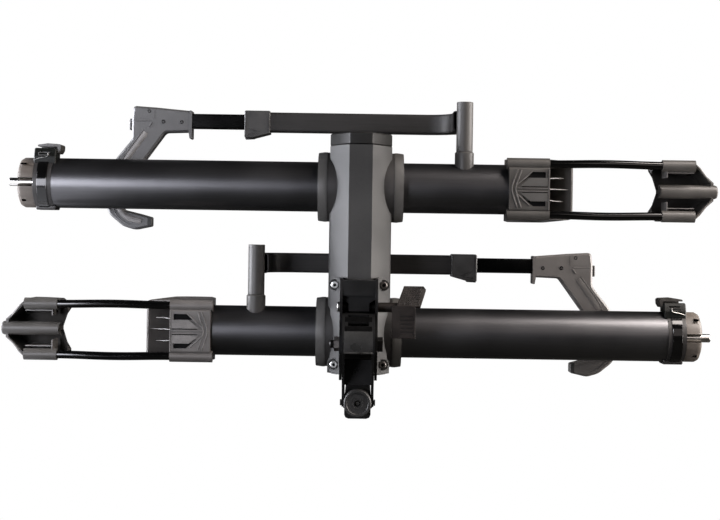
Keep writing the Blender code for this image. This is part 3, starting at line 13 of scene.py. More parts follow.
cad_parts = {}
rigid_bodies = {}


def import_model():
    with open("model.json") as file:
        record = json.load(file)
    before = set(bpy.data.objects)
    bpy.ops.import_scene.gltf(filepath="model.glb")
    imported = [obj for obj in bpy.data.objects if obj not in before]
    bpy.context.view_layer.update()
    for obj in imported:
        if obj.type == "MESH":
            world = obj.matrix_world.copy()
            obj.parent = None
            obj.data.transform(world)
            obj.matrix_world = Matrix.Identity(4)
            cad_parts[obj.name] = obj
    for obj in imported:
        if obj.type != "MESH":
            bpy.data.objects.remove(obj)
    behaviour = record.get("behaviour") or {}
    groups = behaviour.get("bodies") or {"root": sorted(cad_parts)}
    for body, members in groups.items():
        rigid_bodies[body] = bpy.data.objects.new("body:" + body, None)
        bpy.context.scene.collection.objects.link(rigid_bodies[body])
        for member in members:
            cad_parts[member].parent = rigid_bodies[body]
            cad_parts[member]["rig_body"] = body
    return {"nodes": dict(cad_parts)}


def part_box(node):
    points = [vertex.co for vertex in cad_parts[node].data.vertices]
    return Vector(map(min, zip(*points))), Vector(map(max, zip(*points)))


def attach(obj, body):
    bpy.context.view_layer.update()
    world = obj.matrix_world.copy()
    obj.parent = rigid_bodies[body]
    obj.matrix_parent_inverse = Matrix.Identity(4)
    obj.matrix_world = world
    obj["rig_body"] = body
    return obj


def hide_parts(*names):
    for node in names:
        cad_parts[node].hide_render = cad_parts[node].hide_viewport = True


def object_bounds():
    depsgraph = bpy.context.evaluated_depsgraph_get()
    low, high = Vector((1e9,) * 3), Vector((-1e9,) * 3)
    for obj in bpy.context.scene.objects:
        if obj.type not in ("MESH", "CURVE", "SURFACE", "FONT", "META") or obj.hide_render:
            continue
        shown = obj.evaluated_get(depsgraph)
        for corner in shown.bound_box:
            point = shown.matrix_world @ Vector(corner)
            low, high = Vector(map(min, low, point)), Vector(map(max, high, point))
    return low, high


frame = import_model()
solid_box = [list(corner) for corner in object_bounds()]

# Studio
# A white surround and floor that only the camera sees, over dark felt that keeps the undersides dark.
# Softboxes stand at the left, at the right and overhead, and the camera where the photographer stood.
FLOOR_DROP = 0.16           # floor under the lowest point of the rack
FLOOR_SPAN = 12
CAMERA_PLACE = (0.0049, -2.919, 0.3186)
CAMERA_ROLL = math.atan(0.015)      # the picture leans by 15 mm in each metre
VIEW_SHIFT = (-0.003415, -0.027668)
FOCAL_LENGTH_MM = 70.0
SENSOR_WIDTH_MM = 36


def linear(code):
    """Linear colour of an sRGB hex code."""
    channels = [int(code[i:i + 2], 16) / 255 for i in (1, 3, 5)]
    return [c / 12.92 if c <= 0.04045 else ((c + 0.055) / 1.055) ** 2.4 for c in channels] + [1.0]


def add_node(tree, kind, inputs=None, **settings):
    """Node with its settings, whose sockets take a value or a link from another node."""
    node = tree.nodes.new(kind)
    for name, value in settings.items():
        setattr(node, name, value)
    for socket, source in (inputs or {}).items():
        if isinstance(source, bpy.types.Node):
            source = source.outputs[0]
        if isinstance(source, bpy.types.NodeSocket):
            tree.links.new(source, node.inputs[socket])
        else:
            node.inputs[socket].default_value = source
    return node


world = bpy.data.worlds.new("studio_surround")
world.use_nodes = True
world.node_tree.nodes.clear()
bpy.context.scene.world = world
rays = add_node(world.node_tree, "ShaderNodeLightPath")
room = add_node(world.node_tree, "ShaderNodeBackground", {"Color": linear("#c9cbce"), "Strength": 0.02})
paper = add_node(world.node_tree, "ShaderNodeBackground", {"Color": linear("#ffffff"), "Strength": 1.0})
seen = add_node(world.node_tree, "ShaderNodeMixShader", {0: rays.outputs["Is Camera Ray"], 1: room, 2: paper})
add_node(world.node_tree, "ShaderNodeOutputWorld", {"Surface": seen})


def softbox(name, place, aim, size, power, colour):
    """Rectangular light that faces a point and stays out of the picture."""
    data = bpy.data.lights.new(name, "AREA")
    data.shape = "RECTANGLE"
    data.size, data.size_y = size
    data.energy = power
    data.color = linear(colour)[:3]
    lamp = bpy.data.objects.new(name, data)
    bpy.context.scene.collection.objects.link(lamp)
    lamp.location = place
    lamp.rotation_euler = (Vector(aim) - Vector(place)).to_track_quat("-Z", "Y").to_euler()
    lamp.visible_camera = False


softbox("left_front_softbox", (-1.70, -2.60, 0.12), (-0.30, 0.0, 0.25), (0.9, 2.0), 64, "#f4f5ff")
softbox("left_front_strip", (-1.16, -2.62, 0.12), (-0.30, 0.0, 0.25), (0.20, 2.0), 15, "#f4f5ff")
softbox("left_floor_card", (-1.05, -0.75, -0.17), (-1.05, -0.75, 1.0), (0.70, 1.9), 6, "#f6f7ff")
softbox("left_side_softbox", (-1.85, -0.15, 0.40), (0.0, -0.15, 0.30), (0.9, 1.3), 125, "#f6f7ff")
softbox("right_side_softbox", (1.80, -0.20, 0.40), (0.0, -0.15, 0.30), (0.9, 1.3), 86, "#fff8f4")
softbox("right_front_softbox", (1.45, -2.60, 1.25), (0.40, 0.0, 0.40), (1.3, 1.5), 5, "#fff3ee")
softbox("right_top_softbox", (1.60, -0.95, 1.95), (0.60, -0.1, 0.15), (1.1, 1.4), 76, "#fff5ef")
softbox("back_floor_card", (0.0, 1.25, -0.35), (0.0, 0.0, 0.10), (2.4, 0.35), 1.2, "#f8f4ee")

camera = bpy.data.objects.new("camera", bpy.data.cameras.new("camera"))
bpy.context.scene.collection.objects.link(camera)
bpy.context.scene.camera = camera
camera.location = CAMERA_PLACE
camera.rotation_euler = (math.pi / 2, -CAMERA_ROLL, 0)
camera.data.lens = FOCAL_LENGTH_MM
camera.data.sensor_width = SENSOR_WIDTH_MM
camera.data.shift_x, camera.data.shift_y = VIEW_SHIFT
bpy.context.scene.view_settings.view_transform = "Standard"


def new_piece(name, mesh, finish, body):
    """Finished piece at the origin, with one material, that moves with a body."""
    piece = bpy.data.objects.new(name, mesh)
    bpy.context.scene.collection.objects.link(piece)
    mesh.materials.clear()
    mesh.materials.append(finish)
    if body:
        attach(piece, body)
    return piece


floor_level = solid_box[0][2] - FLOOR_DROP
sheet = bmesh.new()
bmesh.ops.create_grid(sheet, x_segments=1, y_segments=1, size=FLOOR_SPAN,
                      matrix=Matrix.Translation((0, 0, floor_level)))
floor_mesh = bpy.data.meshes.new("floor")
sheet.to_mesh(floor_mesh)
sheet.free()
paper_floor = bpy.data.materials.new("white_paper_over_dark_felt")
paper_floor.use_nodes = True
paper_floor.node_tree.nodes.clear()
rays = add_node(paper_floor.node_tree, "ShaderNodeLightPath")
felt = add_node(paper_floor.node_tree, "ShaderNodeBsdfDiffuse", {"Color": linear("#262624")})
paper = add_node(paper_floor.node_tree, "ShaderNodeEmission", {"Color": linear("#ffffff"), "Strength": 1.0})
seen = add_node(paper_floor.node_tree, "ShaderNodeMixShader",
                {0: rays.outputs["Is Camera Ray"], 1: felt, 2: paper})
add_node(paper_floor.node_tree, "ShaderNodeOutputMaterial", {"Surface": seen})
new_piece("floor", floor_mesh, paper_floor, None)


# Tongue
# Square steel tube that goes into the tow bar's socket, stoved in black enamel. The enamel is near
# black with a satin shine, and as it dried it pooled into a faint orange peel.
ENAMEL_PEEL_MM = 2.2        # drawn a little coarser than the real 1 mm, so that it shows
SMOOTH_UNDER = math.radians(32)
AREA_WEIGHT = 60            # how far large faces decide the shading beside them
MERGE_WITHIN = 0.000002
FLAT_WITHIN = 0.005         # radians between faces that are parts of one


def new_finish(name, colour, roughness, metallic=0.0, **sockets):
    """Material whose even values are set on the shader's own sockets."""
    made = bpy.data.materials.new(name)
    made.use_nodes = True
    shader = made.node_tree.nodes["Principled BSDF"]
    values = {"Base Color": linear(colour), "Roughness": roughness, "Metallic": metallic}
    values.update({socket.replace("_", " "): value for socket, value in sockets.items()})
    for socket, value in values.items():
        shader.inputs[socket].default_value = value
    return made


def textured(finish, grain_mm, depth_mm, patch_mm, colours, roughness, stretch=(1, 1, 1)):
    """Fine bumps on a finish, and broad patches in which its colour and roughness drift.

    Noise gathers round 0.5, so two noises added gather round 1.
    """
    tree = finish.node_tree
    shader = tree.nodes["Principled BSDF"]
    here = add_node(tree, "ShaderNodeTexCoord").outputs["Object"]
    along = add_node(tree, "ShaderNodeMapping", {"Vector": here, "Scale": stretch})
    grain = add_node(tree, "ShaderNodeTexNoise", {"Vector": along, "Scale": 1000 / grain_mm, "Detail": 3.0})
    patches = add_node(tree, "ShaderNodeTexNoise", {"Vector": here, "Scale": 1000 / patch_mm, "Detail": 5.0})
    both = add_node(tree, "ShaderNodeMath", {0: grain, 1: patches}, operation="ADD")
    drift = add_node(tree, "ShaderNodeMapRange", {"Value": both, "From Min": 0.75, "From Max": 1.25})
    shades = add_node(tree, "ShaderNodeMix", {0: drift, 6: linear(colours[0]), 7: linear(colours[1])},
                      data_type="RGBA")
    gloss = add_node(tree, "ShaderNodeMapRange", {"Value": patches, "From Min": 0.35, "From Max": 0.65,
                                                  "To Min": roughness[0], "To Max": roughness[1]})
    relief = add_node(tree, "ShaderNodeBump", {"Height": grain, "Strength": 1.0, "Distance": depth_mm / 1000})
    tree.links.new(shades.outputs[2], shader.inputs["Base Color"])
    tree.links.new(gloss.outputs[0], shader.inputs["Roughness"])
    tree.links.new(relief.outputs[0], shader.inputs["Normal"])
    return finish


def shaded(mesh, smooth_under=SMOOTH_UNDER):
    """Mesh with its round faces shaded smooth, its flat faces even and its edges left sharp."""
    if "custom_normal" in mesh.attributes:
        mesh.attributes.remove(mesh.attributes["custom_normal"])
    mesh.polygons.foreach_set("use_smooth", [True] * len(mesh.polygons))
    mesh.set_sharp_from_angle(angle=smooth_under)
    holder = bpy.data.objects.new("shading", mesh)
    bpy.context.scene.collection.objects.link(holder)
    modifier = holder.modifiers.new("even_faces", "WEIGHTED_NORMAL")
    modifier.keep_sharp = True
    modifier.weight = AREA_WEIGHT
    evened = bpy.data.meshes.new_from_object(holder.evaluated_get(bpy.context.evaluated_depsgraph_get()))
    bpy.data.objects.remove(holder)
    return evened


def dressed(name, finish, ease_mm=0.0, smooth_under=SMOOTH_UNDER, eased_edge=None):
    """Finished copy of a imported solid: merged, its sharp edges (or those named) eased and its round faces
    smooth."""
    form = bmesh.new()
    form.from_mesh(frame["nodes"][name].data)
    bmesh.ops.remove_doubles(form, verts=form.verts, dist=MERGE_WITHIN)
    bmesh.ops.dissolve_limit(form, angle_limit=FLAT_WITHIN, verts=form.verts, edges=form.edges)
    if ease_mm:
        corners = [edge for edge in form.edges
                   if len(edge.link_faces) == 2 and edge.calc_face_angle() > SMOOTH_UNDER
                   and (eased_edge is None or eased_edge(edge))]
        bmesh.ops.bevel(form, geom=corners, offset=ease_mm / 1000, segments=3, profile=0.5,
                        affect="EDGES", clamp_overlap=eased_edge is None)
    mesh = bpy.data.meshes.new(name)
    form.to_mesh(mesh)
    form.free()
    piece = new_piece(name + "_finished", shaded(mesh, smooth_under), finish,
                      frame["nodes"][name]["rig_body"])
    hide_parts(name)
    return piece


enamel = new_finish("black_enamel_on_steel", "#0e0e0e", 0.32, Specular_IOR_Level=0.45)
textured(enamel, ENAMEL_PEEL_MM, 0.004, 60, ("#0b0b0b", "#121212"), (0.28, 0.38))
dressed("tongue", enamel)

# Clamp
# A nylon knob moulded on a steel rod that runs through the tongue and lifts a small steel shoe, which
# takes the play out of the tow bar's socket. A lock core sits deep in the knob's key hole.
DISH_DEPTH = 0.0020
KEY_HOLE_DEPTH = 0.0140
RING_RADII = (0.0104, 0.0190)
RING_SECTION = ((0.0003, -0.0009), (-0.0006, -0.0005), (-0.0006, 0.0005), (0.0003, 0.0009))
CORE_RADIUS = 0.0043


def loft(*skins, closed=False):
    """Mesh of one or more closed skins: runs of rings with flat ends, or runs that close on themselves."""
    form = bmesh.new()
    for rings in skins:
        rows = [[form.verts.new(point) for point in ring] for ring in rings]
        pairs = list(zip(rows, rows[1:]))
        if closed:
            pairs.append((rows[-1], rows[0]))
        else:
            form.faces.new(rows[0])
            form.faces.new(rows[-1])
        for low, high in pairs:
            for i in range(len(low)):
                j = (i + 1) % len(low)
                form.faces.new((low[i], low[j], high[j], high[i]))
    bmesh.ops.recalc_face_normals(form, faces=form.faces)
    mesh = bpy.data.meshes.new("loft")
    form.to_mesh(mesh)
    form.free()
    return shaded(mesh)


def turned(profile, axis="Y", centre=(0, 0, 0), sides=28):
    """Rings round an axis, from pairs of a place along it and a radius."""
    rings = []
    for place, radius in profile:
        ring = []
        for step in range(sides):
            angle = 2 * math.pi * step / sides
            across, up = radius * math.cos(angle), radius * math.sin(angle)
            local = {"X": (place, across, up), "Y": (across, place, up), "Z": (across, up, place)}[axis]
            ring.append(Vector(centre) + Vector(local))
        rings.append(ring)
    return rings


# Glass-filled nylon from a spark-eroded mould: near black, with a fine matt grain that spreads each
# highlight. The knob's is blacker, and dulled by hands.
black_nylon = new_finish("moulded_black_nylon", "#262524", 0.46)
textured(black_nylon, 0.9, 0.030, 45, ("#232221", "#302e2d"), (0.40, 0.54))
knob_nylon = new_finish("moulded_knob_nylon", "#201f1e", 0.46, Specular_IOR_Level=0.4)
textured(knob_nylon, 0.9, 0.025, 30, ("#1b1b1a", "#272625"), (0.42, 0.52))
# Steel turned dark in a hot salt bath: a dull satin with a brown tinge.
black_steel = new_finish("blackened_steel", "#191919", 0.36, 0.7)
textured(black_steel, 1.4, 0.010, 25, ("#151514", "#222120"), (0.30, 0.44))


def dress(nodes, finish):
    """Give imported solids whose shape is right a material."""
    for name in nodes:
        solid = frame["nodes"][name]
        solid.data.materials.clear()
        solid.data.materials.append(finish)


dressed("cam_knob", knob_nylon)
dress(["cam_shoe"], black_steel)
low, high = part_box("cam_knob")
knob_centre = (0, 0, (low.z + high.z) / 2)
dish, key_floor = low.y + DISH_DEPTH, low.y + KEY_HOLE_DEPTH
rings = [turned([(dish + deep, radius + out) for deep, out in RING_SECTION], "Y", knob_centre, 40)
         for radius in RING_RADII]
new_piece("knob_face_rings", loft(*rings, closed=True), knob_nylon, "cam_knob")
# Satin steel: drawn bar, lightly brushed round its length.
satin_steel = new_finish("brushed_steel", "#8b8a87", 0.32, 1.0)
textured(satin_steel, 0.8, 0.010, 20, ("#7b7a77", "#9a9996"), (0.26, 0.40))
core = turned([(key_floor - 0.0035, CORE_RADIUS - 0.0007), (key_floor - 0.0028, CORE_RADIUS),
               (key_floor + 0.0001, CORE_RADIUS)], "Y", knob_centre)
new_piece("knob_lock_core", loft(core), satin_steel, "cam_knob")

# Tongue bracket
# Two steel plates and a notched sector, welded to the tongue's end and dipped with it. Bolts cross it
# at the foot, and a row of weld beads shows under each plate. The sector's rim carries a painted dark
# reflection, a painted light reflection and a painted edge highlight.
BEAD_PITCH = 0.0021
BEAD_ROW = (-0.226, -0.168)         # along the tongue
BEADS_OUT = 0.0009                  # from the tongue's side
BEAD_LEVEL = -0.0030
PIVOT = Vector((0, -0.249, 0.120))
SKIN_REACH = 0.0601                 # from the pivot: the rim's 60 mm and a hair, so that the skins show
SKIN_DEPTH = 0.0006
SKIN_STEPS = 12

scatter = bpy.data.node_groups.new("set_at_places", "GeometryNodeTree")
for name, kind in (("Places", "NodeSocketGeometry"), ("Part", "NodeSocketObject"),
                   ("Turn", "NodeSocketFloat"), ("Size Spread", "NodeSocketFloat"),
                   ("Seed", "NodeSocketInt"), ("Finish", "NodeSocketMaterial")):
    scatter.interface.new_socket(name, in_out="INPUT", socket_type=kind)
scatter.interface.new_socket("Set Parts", in_out="OUTPUT", socket_type="NodeSocketGeometry")
given = add_node(scatter, "NodeGroupInput").outputs
facing = add_node(scatter, "GeometryNodeInputNamedAttribute", {"Name": "facing"},
                  data_type="FLOAT_VECTOR")
aim = add_node(scatter, "FunctionNodeAlignRotationToVector", {"Vector": facing}, axis="Z")
back = add_node(scatter, "ShaderNodeMath", {0: given["Turn"], 1: -1.0}, operation="MULTIPLY")
spin = add_node(scatter, "FunctionNodeRandomValue", {2: back, 3: given["Turn"], 8: given["Seed"]},
                data_type="FLOAT")
spin = add_node(scatter, "ShaderNodeCombineXYZ", {"Z": spin.outputs[1]})
spin = add_node(scatter, "FunctionNodeEulerToRotation", {"Euler": spin})
aim = add_node(scatter, "FunctionNodeRotateRotation", {"Rotation": aim, "Rotate By": spin},
               rotation_space="LOCAL")
least = add_node(scatter, "ShaderNodeMath", {0: 1.0, 1: given["Size Spread"]}, operation="SUBTRACT")
most = add_node(scatter, "ShaderNodeMath", {0: 1.0, 1: given["Size Spread"]}, operation="ADD")
size = add_node(scatter, "FunctionNodeRandomValue", {2: least, 3: most, 8: given["Seed"]},
                data_type="FLOAT")
part = add_node(scatter, "GeometryNodeObjectInfo", {"Object": given["Part"]})
copies = add_node(scatter, "GeometryNodeInstanceOnPoints", {
    "Points": given["Places"], "Instance": part.outputs["Geometry"], "Rotation": aim,
    "Scale": size.outputs[1]})
solid = add_node(scatter, "GeometryNodeRealizeInstances", {"Geometry": copies})
solid = add_node(scatter, "GeometryNodeSetMaterial", {"Geometry": solid, "Material": given["Finish"]})
add_node(scatter, "NodeGroupOutput", {"Set Parts": solid})


def set_parts(name, places, part, finish, body, turn=0.0, spread=0.0, seed=1):
    """One piece of like small parts, set at places that each give a point and the way the part faces."""
    points = bpy.data.meshes.new(name)
    points.from_pydata([point for point, _ in places], [], [])
    ways = points.attributes.new("facing", "FLOAT_VECTOR", "POINT")
    ways.data.foreach_set("vector", [value for _, way in places for value in way])
    carrier = bpy.data.objects.new(name + "_places", points)
    sample = bpy.data.objects.new(name + "_sample", part)
    bpy.context.scene.collection.objects.link(carrier)
    bpy.context.scene.collection.objects.link(sample)
    modifier = carrier.modifiers.new("set_at_places", "NODES")
    modifier.node_group = scatter
    values = {"Part": sample, "Turn": turn, "Size Spread": spread, "Seed": seed, "Finish": finish}
    for item in scatter.interface.items_tree:
        if item.in_out == "INPUT" and item.name in values:
            modifier[item.identifier] = values[item.name]
    bpy.context.view_layer.update()
    made = bpy.data.meshes.new_from_object(carrier.evaluated_get(bpy.context.evaluated_depsgraph_get()))
    bpy.data.objects.remove(carrier)
    bpy.data.objects.remove(sample)
    return new_piece(name, made, finish, body)


# The same dip as the tongue's, which ran thinner on the plates: a shade greyer and smoother.
bracket_enamel = new_finish("satin_enamel_on_plate", "#131313", 0.28)
textured(bracket_enamel, ENAMEL_PEEL_MM, 0.004, 50, ("#101010", "#181818"), (0.25, 0.33))
dressed("tongue_bracket", bracket_enamel)
for name in ("bracket_bolt_left", "bracket_bolt_right"):
    dressed(name, black_steel)
low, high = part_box("tongue")
places = []
for side in (-1, 1):
    for step in range(int((BEAD_ROW[1] - BEAD_ROW[0]) / BEAD_PITCH)):
        places.append(((side * (high.x + BEADS_OUT), BEAD_ROW[0] + step * BEAD_PITCH, BEAD_LEVEL),
                       (side * 0.7, 0, -0.7)))
weld_bead = loft(turned([(-0.0012, 0.0022), (0.0, 0.0026), (0.0009, 0.0021), (0.0014, 0.0010)],
                        "Z", sides=10))
set_parts("bracket_weld_beads", places, weld_bead, enamel, "tongue", 0.4, 0.10, 7)

# Painted shade: a dull black that stands for the dark reflection on the sector's rim and for the shade
# in the bolts' sockets.
painted_black_shade = new_finish("painted_black_shade", "#040404", 0.50, Specular_IOR_Level=0.05)
textured(painted_black_shade, 1.0, 0.010, 5, ("#030303", "#070707"), (0.45, 0.60))
# Painted reflection: enamel greyer than the rest, with the same peel, that stands for the light
# reflection on the sector's face below its notches.
painted_sheen_enamel = new_finish("painted_sheen_on_sector", "#2a2a29", 0.30)
textured(painted_sheen_enamel, ENAMEL_PEEL_MM, 0.004, 30, ("#232322", "#323231"), (0.26, 0.36))
# Thin skins on the rim: painted dark reflection beside its notches, which stay open, painted light
# reflection below them, and bare steel in a line along the lower lip as a painted highlight on its edge.
# Angles are in degrees above the rearward direction.
for name, first, last, swell, half, finish in (
        ("sector_grease_low", 27.5, 37.8, 0.0, 0.0255, painted_black_shade),
        ("sector_grease_high", 48.2, 62.8, 0.0, 0.0255, painted_black_shade),
        ("sector_wiped_face", -10.4, 27.5, 0.0, 0.0272, painted_sheen_enamel),
        ("sector_worn_lip", -13.5, -10.5, 0.0008, 0.0268, satin_steel)):
    rings = []
    for step in range(SKIN_STEPS + 1):
        turn = math.radians(first + (last - first) * step / SKIN_STEPS)
        outer = SKIN_REACH + swell * math.sin(math.pi * step / SKIN_STEPS)
        inner = outer - SKIN_DEPTH
        rings.append([(x, PIVOT.y - reach * math.cos(turn), PIVOT.z + reach * math.sin(turn))
                      for x, reach in ((-half, inner), (-half, outer), (half, outer), (half, inner))])
    new_piece(name, loft(rings), finish, "tongue")

# Fold bracket and pivot
# Outer bracket of folded and welded plate that turns with the spine, with a cover over the latch. The
# pivot is a black bolt whose zinc-plated nut shows at the left.
dressed("fold_bracket", enamel)
dressed("pivot_bolt", black_steel)
# Zinc plating: pale silver, a little dulled in broad patches.
zinc = new_finish("zinc_plated_steel", "#dcdcd8", 0.42, 1.0)
textured(zinc, 1.0, 0.012, 14, ("#d0d0cd", "#e6e6e3"), (0.36, 0.50))
# The same plating made darker: on the right-hand hinge plate's bolts it is painted shade; the pivot nut
# wears it too.
darker_zinc = new_finish("darker_zinc_plating", "#6a6764", 0.45, 1.0)
textured(darker_zinc, 1.2, 0.006, 9, ("#555250", "#7d7976"), (0.38, 0.55))
dress(["pivot_nut"], darker_zinc)

# Latch and pedal
# A steel pawl on a cross shaft holds the fold. The foot pedal on the shaft's right end is moulded nylon
# with a raised rim, grooves and a studded tread on the wing.
WING_OUT = 0.0205           # how far the wing passes the pad's right edge
PAD_WIDTH = 0.045
PAD_HEIGHT = 0.062
WING_LEAN = 0.0240          # forwards, from the pad's top to the wing's
STUD_PITCH = 0.0031
STUD_ROWS = 10

dressed("latch_shaft", satin_steel)
dress(["latch_pawl"], black_steel)
# Brown-black nylon with more glass in it than the rest, which leaves a grey bloom on its flat faces.
pedal_nylon = new_finish("glass_filled_brown_nylon", "#1a1613", 0.48, Specular_IOR_Level=0.35)
textured(pedal_nylon, 1.1, 0.035, 22, ("#15110f", "#221c18"), (0.42, 0.56))
dressed("release_pedal", pedal_nylon, 0.6)


def bead(path, face, wide, high, taper=0.5):
    """Rings of a raised line on a face that looks rearward; the path is a run of x and z pairs."""
    points = [Vector((x, face, z)) for x, z in path]
    last = len(points) - 1
    section = ((-1, -0.6), (-1, 0.2), (-0.55, 1.0), (0.55, 1.0), (1, 0.2), (1, -0.6))
    rings = []
    for index, point in enumerate(points):
        along = points[min(index + 1, last)] - points[max(index - 1, 0)]
        aside = along.normalized().cross(Vector((0, -1, 0))) * wide / 2
        share = taper if index in (0, last) else 1.0
        rings.append([point + aside * a * share + Vector((0, -high * h, 0)) for a, h in section])
    return rings


low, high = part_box("release_pedal")
far = high.x - WING_OUT
near, foot, knee = far - PAD_WIDTH, low.z, low.z + PAD_HEIGHT
rim = [(far - 0.0014, knee - 0.0030), (far - 0.0014, foot + 0.0030), (far - 0.0030, foot + 0.0014),
       (near + 0.0120, foot + 0.0014)]
new_piece("pedal_rim", loft(bead(rim, low.y, 0.0018, 0.0009)), pedal_nylon, "release_pedal")
lean = Vector((0, WING_LEAN, high.z - knee))
out = Vector((0, -lean.z, lean.y)).normalized()
places = []
for row in range(STUD_ROWS):
    share = 0.10 + 0.82 * row / (STUD_ROWS - 1)
    left, right = near + 0.012 + 0.014 * share, far + 0.0070 + 0.0040 * share
    count = int((right - left) / STUD_PITCH)
    for step in range(count + 1):
        x = left + (right - left) * (step + (row % 2) * 0.5) / (count + 0.5)
        places.append((Vector((x, low.y, knee)) + lean * share, out))
stud = loft(turned([(-0.0003, 0.00125), (0.0001, 0.00125), (0.0006, 0.0006)], "Z", sides=6))
set_parts("pedal_tread_studs", places, stud, pedal_nylon, "release_pedal", 0.3, 0.06, 3)

# Spine
# Extruded aluminium with bevelled sides, in gunmetal powder coat. Its end is closed by a nylon cap, and
# two cast plates on the bevels take the hinge, each held by two cap bolts.
COAT_GRAIN_MM = 1.3         # drawn coarser than the real 0.5 mm, so that it shows
SOCKET_DEPTH = 0.0008

# Baked powder: a satin grey with a fine leathery surface and a little metal dust in it.
powder_coat = new_finish("gunmetal_powder_coat_on_aluminium", "#343433", 0.36, 0.1)
textured(powder_coat, COAT_GRAIN_MM, 0.020, 90, ("#303030", "#393938"), (0.33, 0.40))
dressed("spine", powder_coat)
# Unpolished black nylon: it takes hardly any highlight.
cap_nylon = new_finish("moulded_cap_nylon", "#141413", 0.54, Specular_IOR_Level=0.25)
textured(cap_nylon, 0.9, 0.030, 50, ("#111110", "#191918"), (0.50, 0.60))
dressed("spine_end_cap", cap_nylon)
for name in ("hinge_plate_left", "hinge_plate_right"):
    dressed(name, powder_coat)
# The right-hand plate's bolts take the darker zinc as painted shade, and a black disc set in every
# bolt's socket is painted shade.
sockets = []
for index in range(1, 5):
    low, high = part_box("hinge_plate_bolt_%d" % index)
    dressed("hinge_plate_bolt_%d" % index, zinc if high.x < 0 else darker_zinc, 0.0, math.radians(20))
    sockets.append((((low.x + high.x) / 2, low.y + SOCKET_DEPTH, (low.z + high.z) / 2), (0, -1, 0)))
disc = loft(turned([(-0.0010, 0.0032), (0.0, 0.0032), (0.0001, 0.0020)], "Z", sides=12))
set_parts("hinge_bolt_sockets", sockets, disc, painted_black_shade, "spine")

# Tray tubes
# Round extruded aluminium, black anodised: a dark metal sheen with faint lines from the die that run
# along the tube. Each passes through the spine in a pair of nylon collars.
TRAYS = ("upper", "lower")
DIE_LINE_MM = 1.6
BAND_PROFILE = ((0.0660, -0.0010), (0.0663, 0.0004), (0.0722, 0.0005), (0.0838, -0.0011),
                (0.0838, -0.0030))          # along the tube, and out from the flange's rim

anodised = new_finish("black_anodised_aluminium", "#68686a", 0.35, 1.0)
textured(anodised, DIE_LINE_MM, 0.003, 120, ("#646466", "#6c6c6e"), (0.33, 0.37), (0.02, 1, 1))
axes = {}
for tray in TRAYS:
    low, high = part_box(tray + "_tray_tube")
    axes[tray] = (low + high) / 2
    dressed(tray + "_tray_tube", anodised)
    dressed(tray + "_tube_collar", black_nylon)


def at_tray(tray, x, y, z):
    """Place in the frame, from millimetres off a tray's axis; the lower tray is turned end for end."""
    side = 1 if tray == "upper" else -1
    return Vector((side * x / 1000, axes[tray].y + y / 1000, axes[tray].z + z / 1000))


# The collars' outer bands are polished in the mould, and their nylon is lighter than the collars' as a
# painted highlight, so each shows one soft upright highlight.
highlight_band_nylon = new_finish("satin_nylon_painted_highlight", "#4b4a48", 0.36)
textured(highlight_band_nylon, 0.8, 0.012, 40, ("#464543", "#52514f"), (0.33, 0.41))
for tray in TRAYS:
    low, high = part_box(tray + "_tube_collar")
    rim = (high.z - low.z) / 2
    for end in (-1, 1):
        band = turned([(end * x, rim + out) for x, out in BAND_PROFILE], "X",
                      (0, axes[tray].y, axes[tray].z), 96)
        new_piece("%s_collar_band_%s" % (tray, "left" if end < 0 else "right"), loft(band, closed=True),
                  highlight_band_nylon, "spine")

# Tube end caps
# Nylon plugs in the tubes' strap ends, with a slot above and below. A steel ferrule lies in a groove
# across each, where a lock can be fixed, and a zinc bar in the upper slot is a painted highlight on the
# slot's edges.
SLOT_GLINT_LEVEL_MM = 36
SLOT_GLINT_ENDS_MM = (-670.5, -661.4)

# Brown-grey nylon, dry and faded: a broad dull highlight.
end_nylon = new_finish("moulded_brown_grey_nylon", "#504a44", 0.48)
textured(end_nylon, 1.0, 0.035, 25, ("#47413c", "#58524b"), (0.42, 0.56))
# Turned steel: the tool left fine rings round it, which stretch each highlight along it.
turned_steel = new_finish("turned_steel", "#d6d4d0", 0.20, 1.0)
textured(turned_steel, 0.7, 0.012, 12, ("#c8c6c2", "#e2e0dc"), (0.15, 0.28), (1, 0.02, 0.02))
for tray in TRAYS:
    dressed(tray + "_tray_end_cap", end_nylon)
    dressed(tray + "_lock_ferrule", turned_steel)
    slot_glint = [[at_tray(tray, x, y, SLOT_GLINT_LEVEL_MM + 1.3 * up)
             for y, up in ((-43.0, -1), (-43.0, 1), (-31, 1), (-31, -1))] for x in SLOT_GLINT_ENDS_MM]
    # Laid twice in the same place, and the lower slot has no painted highlight.
    new_piece(tray + "_end_cap_clips", loft(slot_glint, slot_glint), zinc, "spine")

# Straps
# A ratchet strap of gloss black rubber lies in a nylon band round each tube's end. Its buckle has a
# wire bail and a thumb lever.
FACE_FROM, FACE_TURN = -78, 2.1     # the strap's smooth face: its lower end and each step, in degrees
FACE_STEPS = 60
BAIL_MM = ((-617.8, -35.2, 57.0), (-618.4, -36.0, 52.0), (-622.0, -36.2, 50.2), (-634.9, -35.4, 48.1),
           (-644.0, -33.0, 45.0), (-645.5, -30.0, 42.0))
BAIL_RADIUS = 0.0012
WINDOW_MM = ((-637.5, 59.0), (-616.5, 59.0), (-616.5, 53.5), (-637.5, 53.5), (-637.5, 59.0))

# Moulded rubber with a polished skin: black, with sharp narrow highlights.
strap_rubber = new_finish("gloss_strap_rubber", "#080808", 0.10)
textured(strap_rubber, 2.5, 0.006, 30, ("#060606", "#0c0c0c"), (0.08, 0.14))
# The buckle's nylon is black and dull, the lever's greyer and polished by thumbs.
buckle_nylon = new_finish("moulded_buckle_nylon", "#0c0d0b", 0.48, Specular_IOR_Level=0.2)
textured(buckle_nylon, 0.9, 0.030, 18, ("#0a0b09", "#10120f"), (0.44, 0.54))
lever_nylon = new_finish("moulded_lever_nylon", "#353331", 0.36)
textured(lever_nylon, 0.9, 0.020, 18, ("#2f2d2b", "#3e3c39"), (0.32, 0.42))


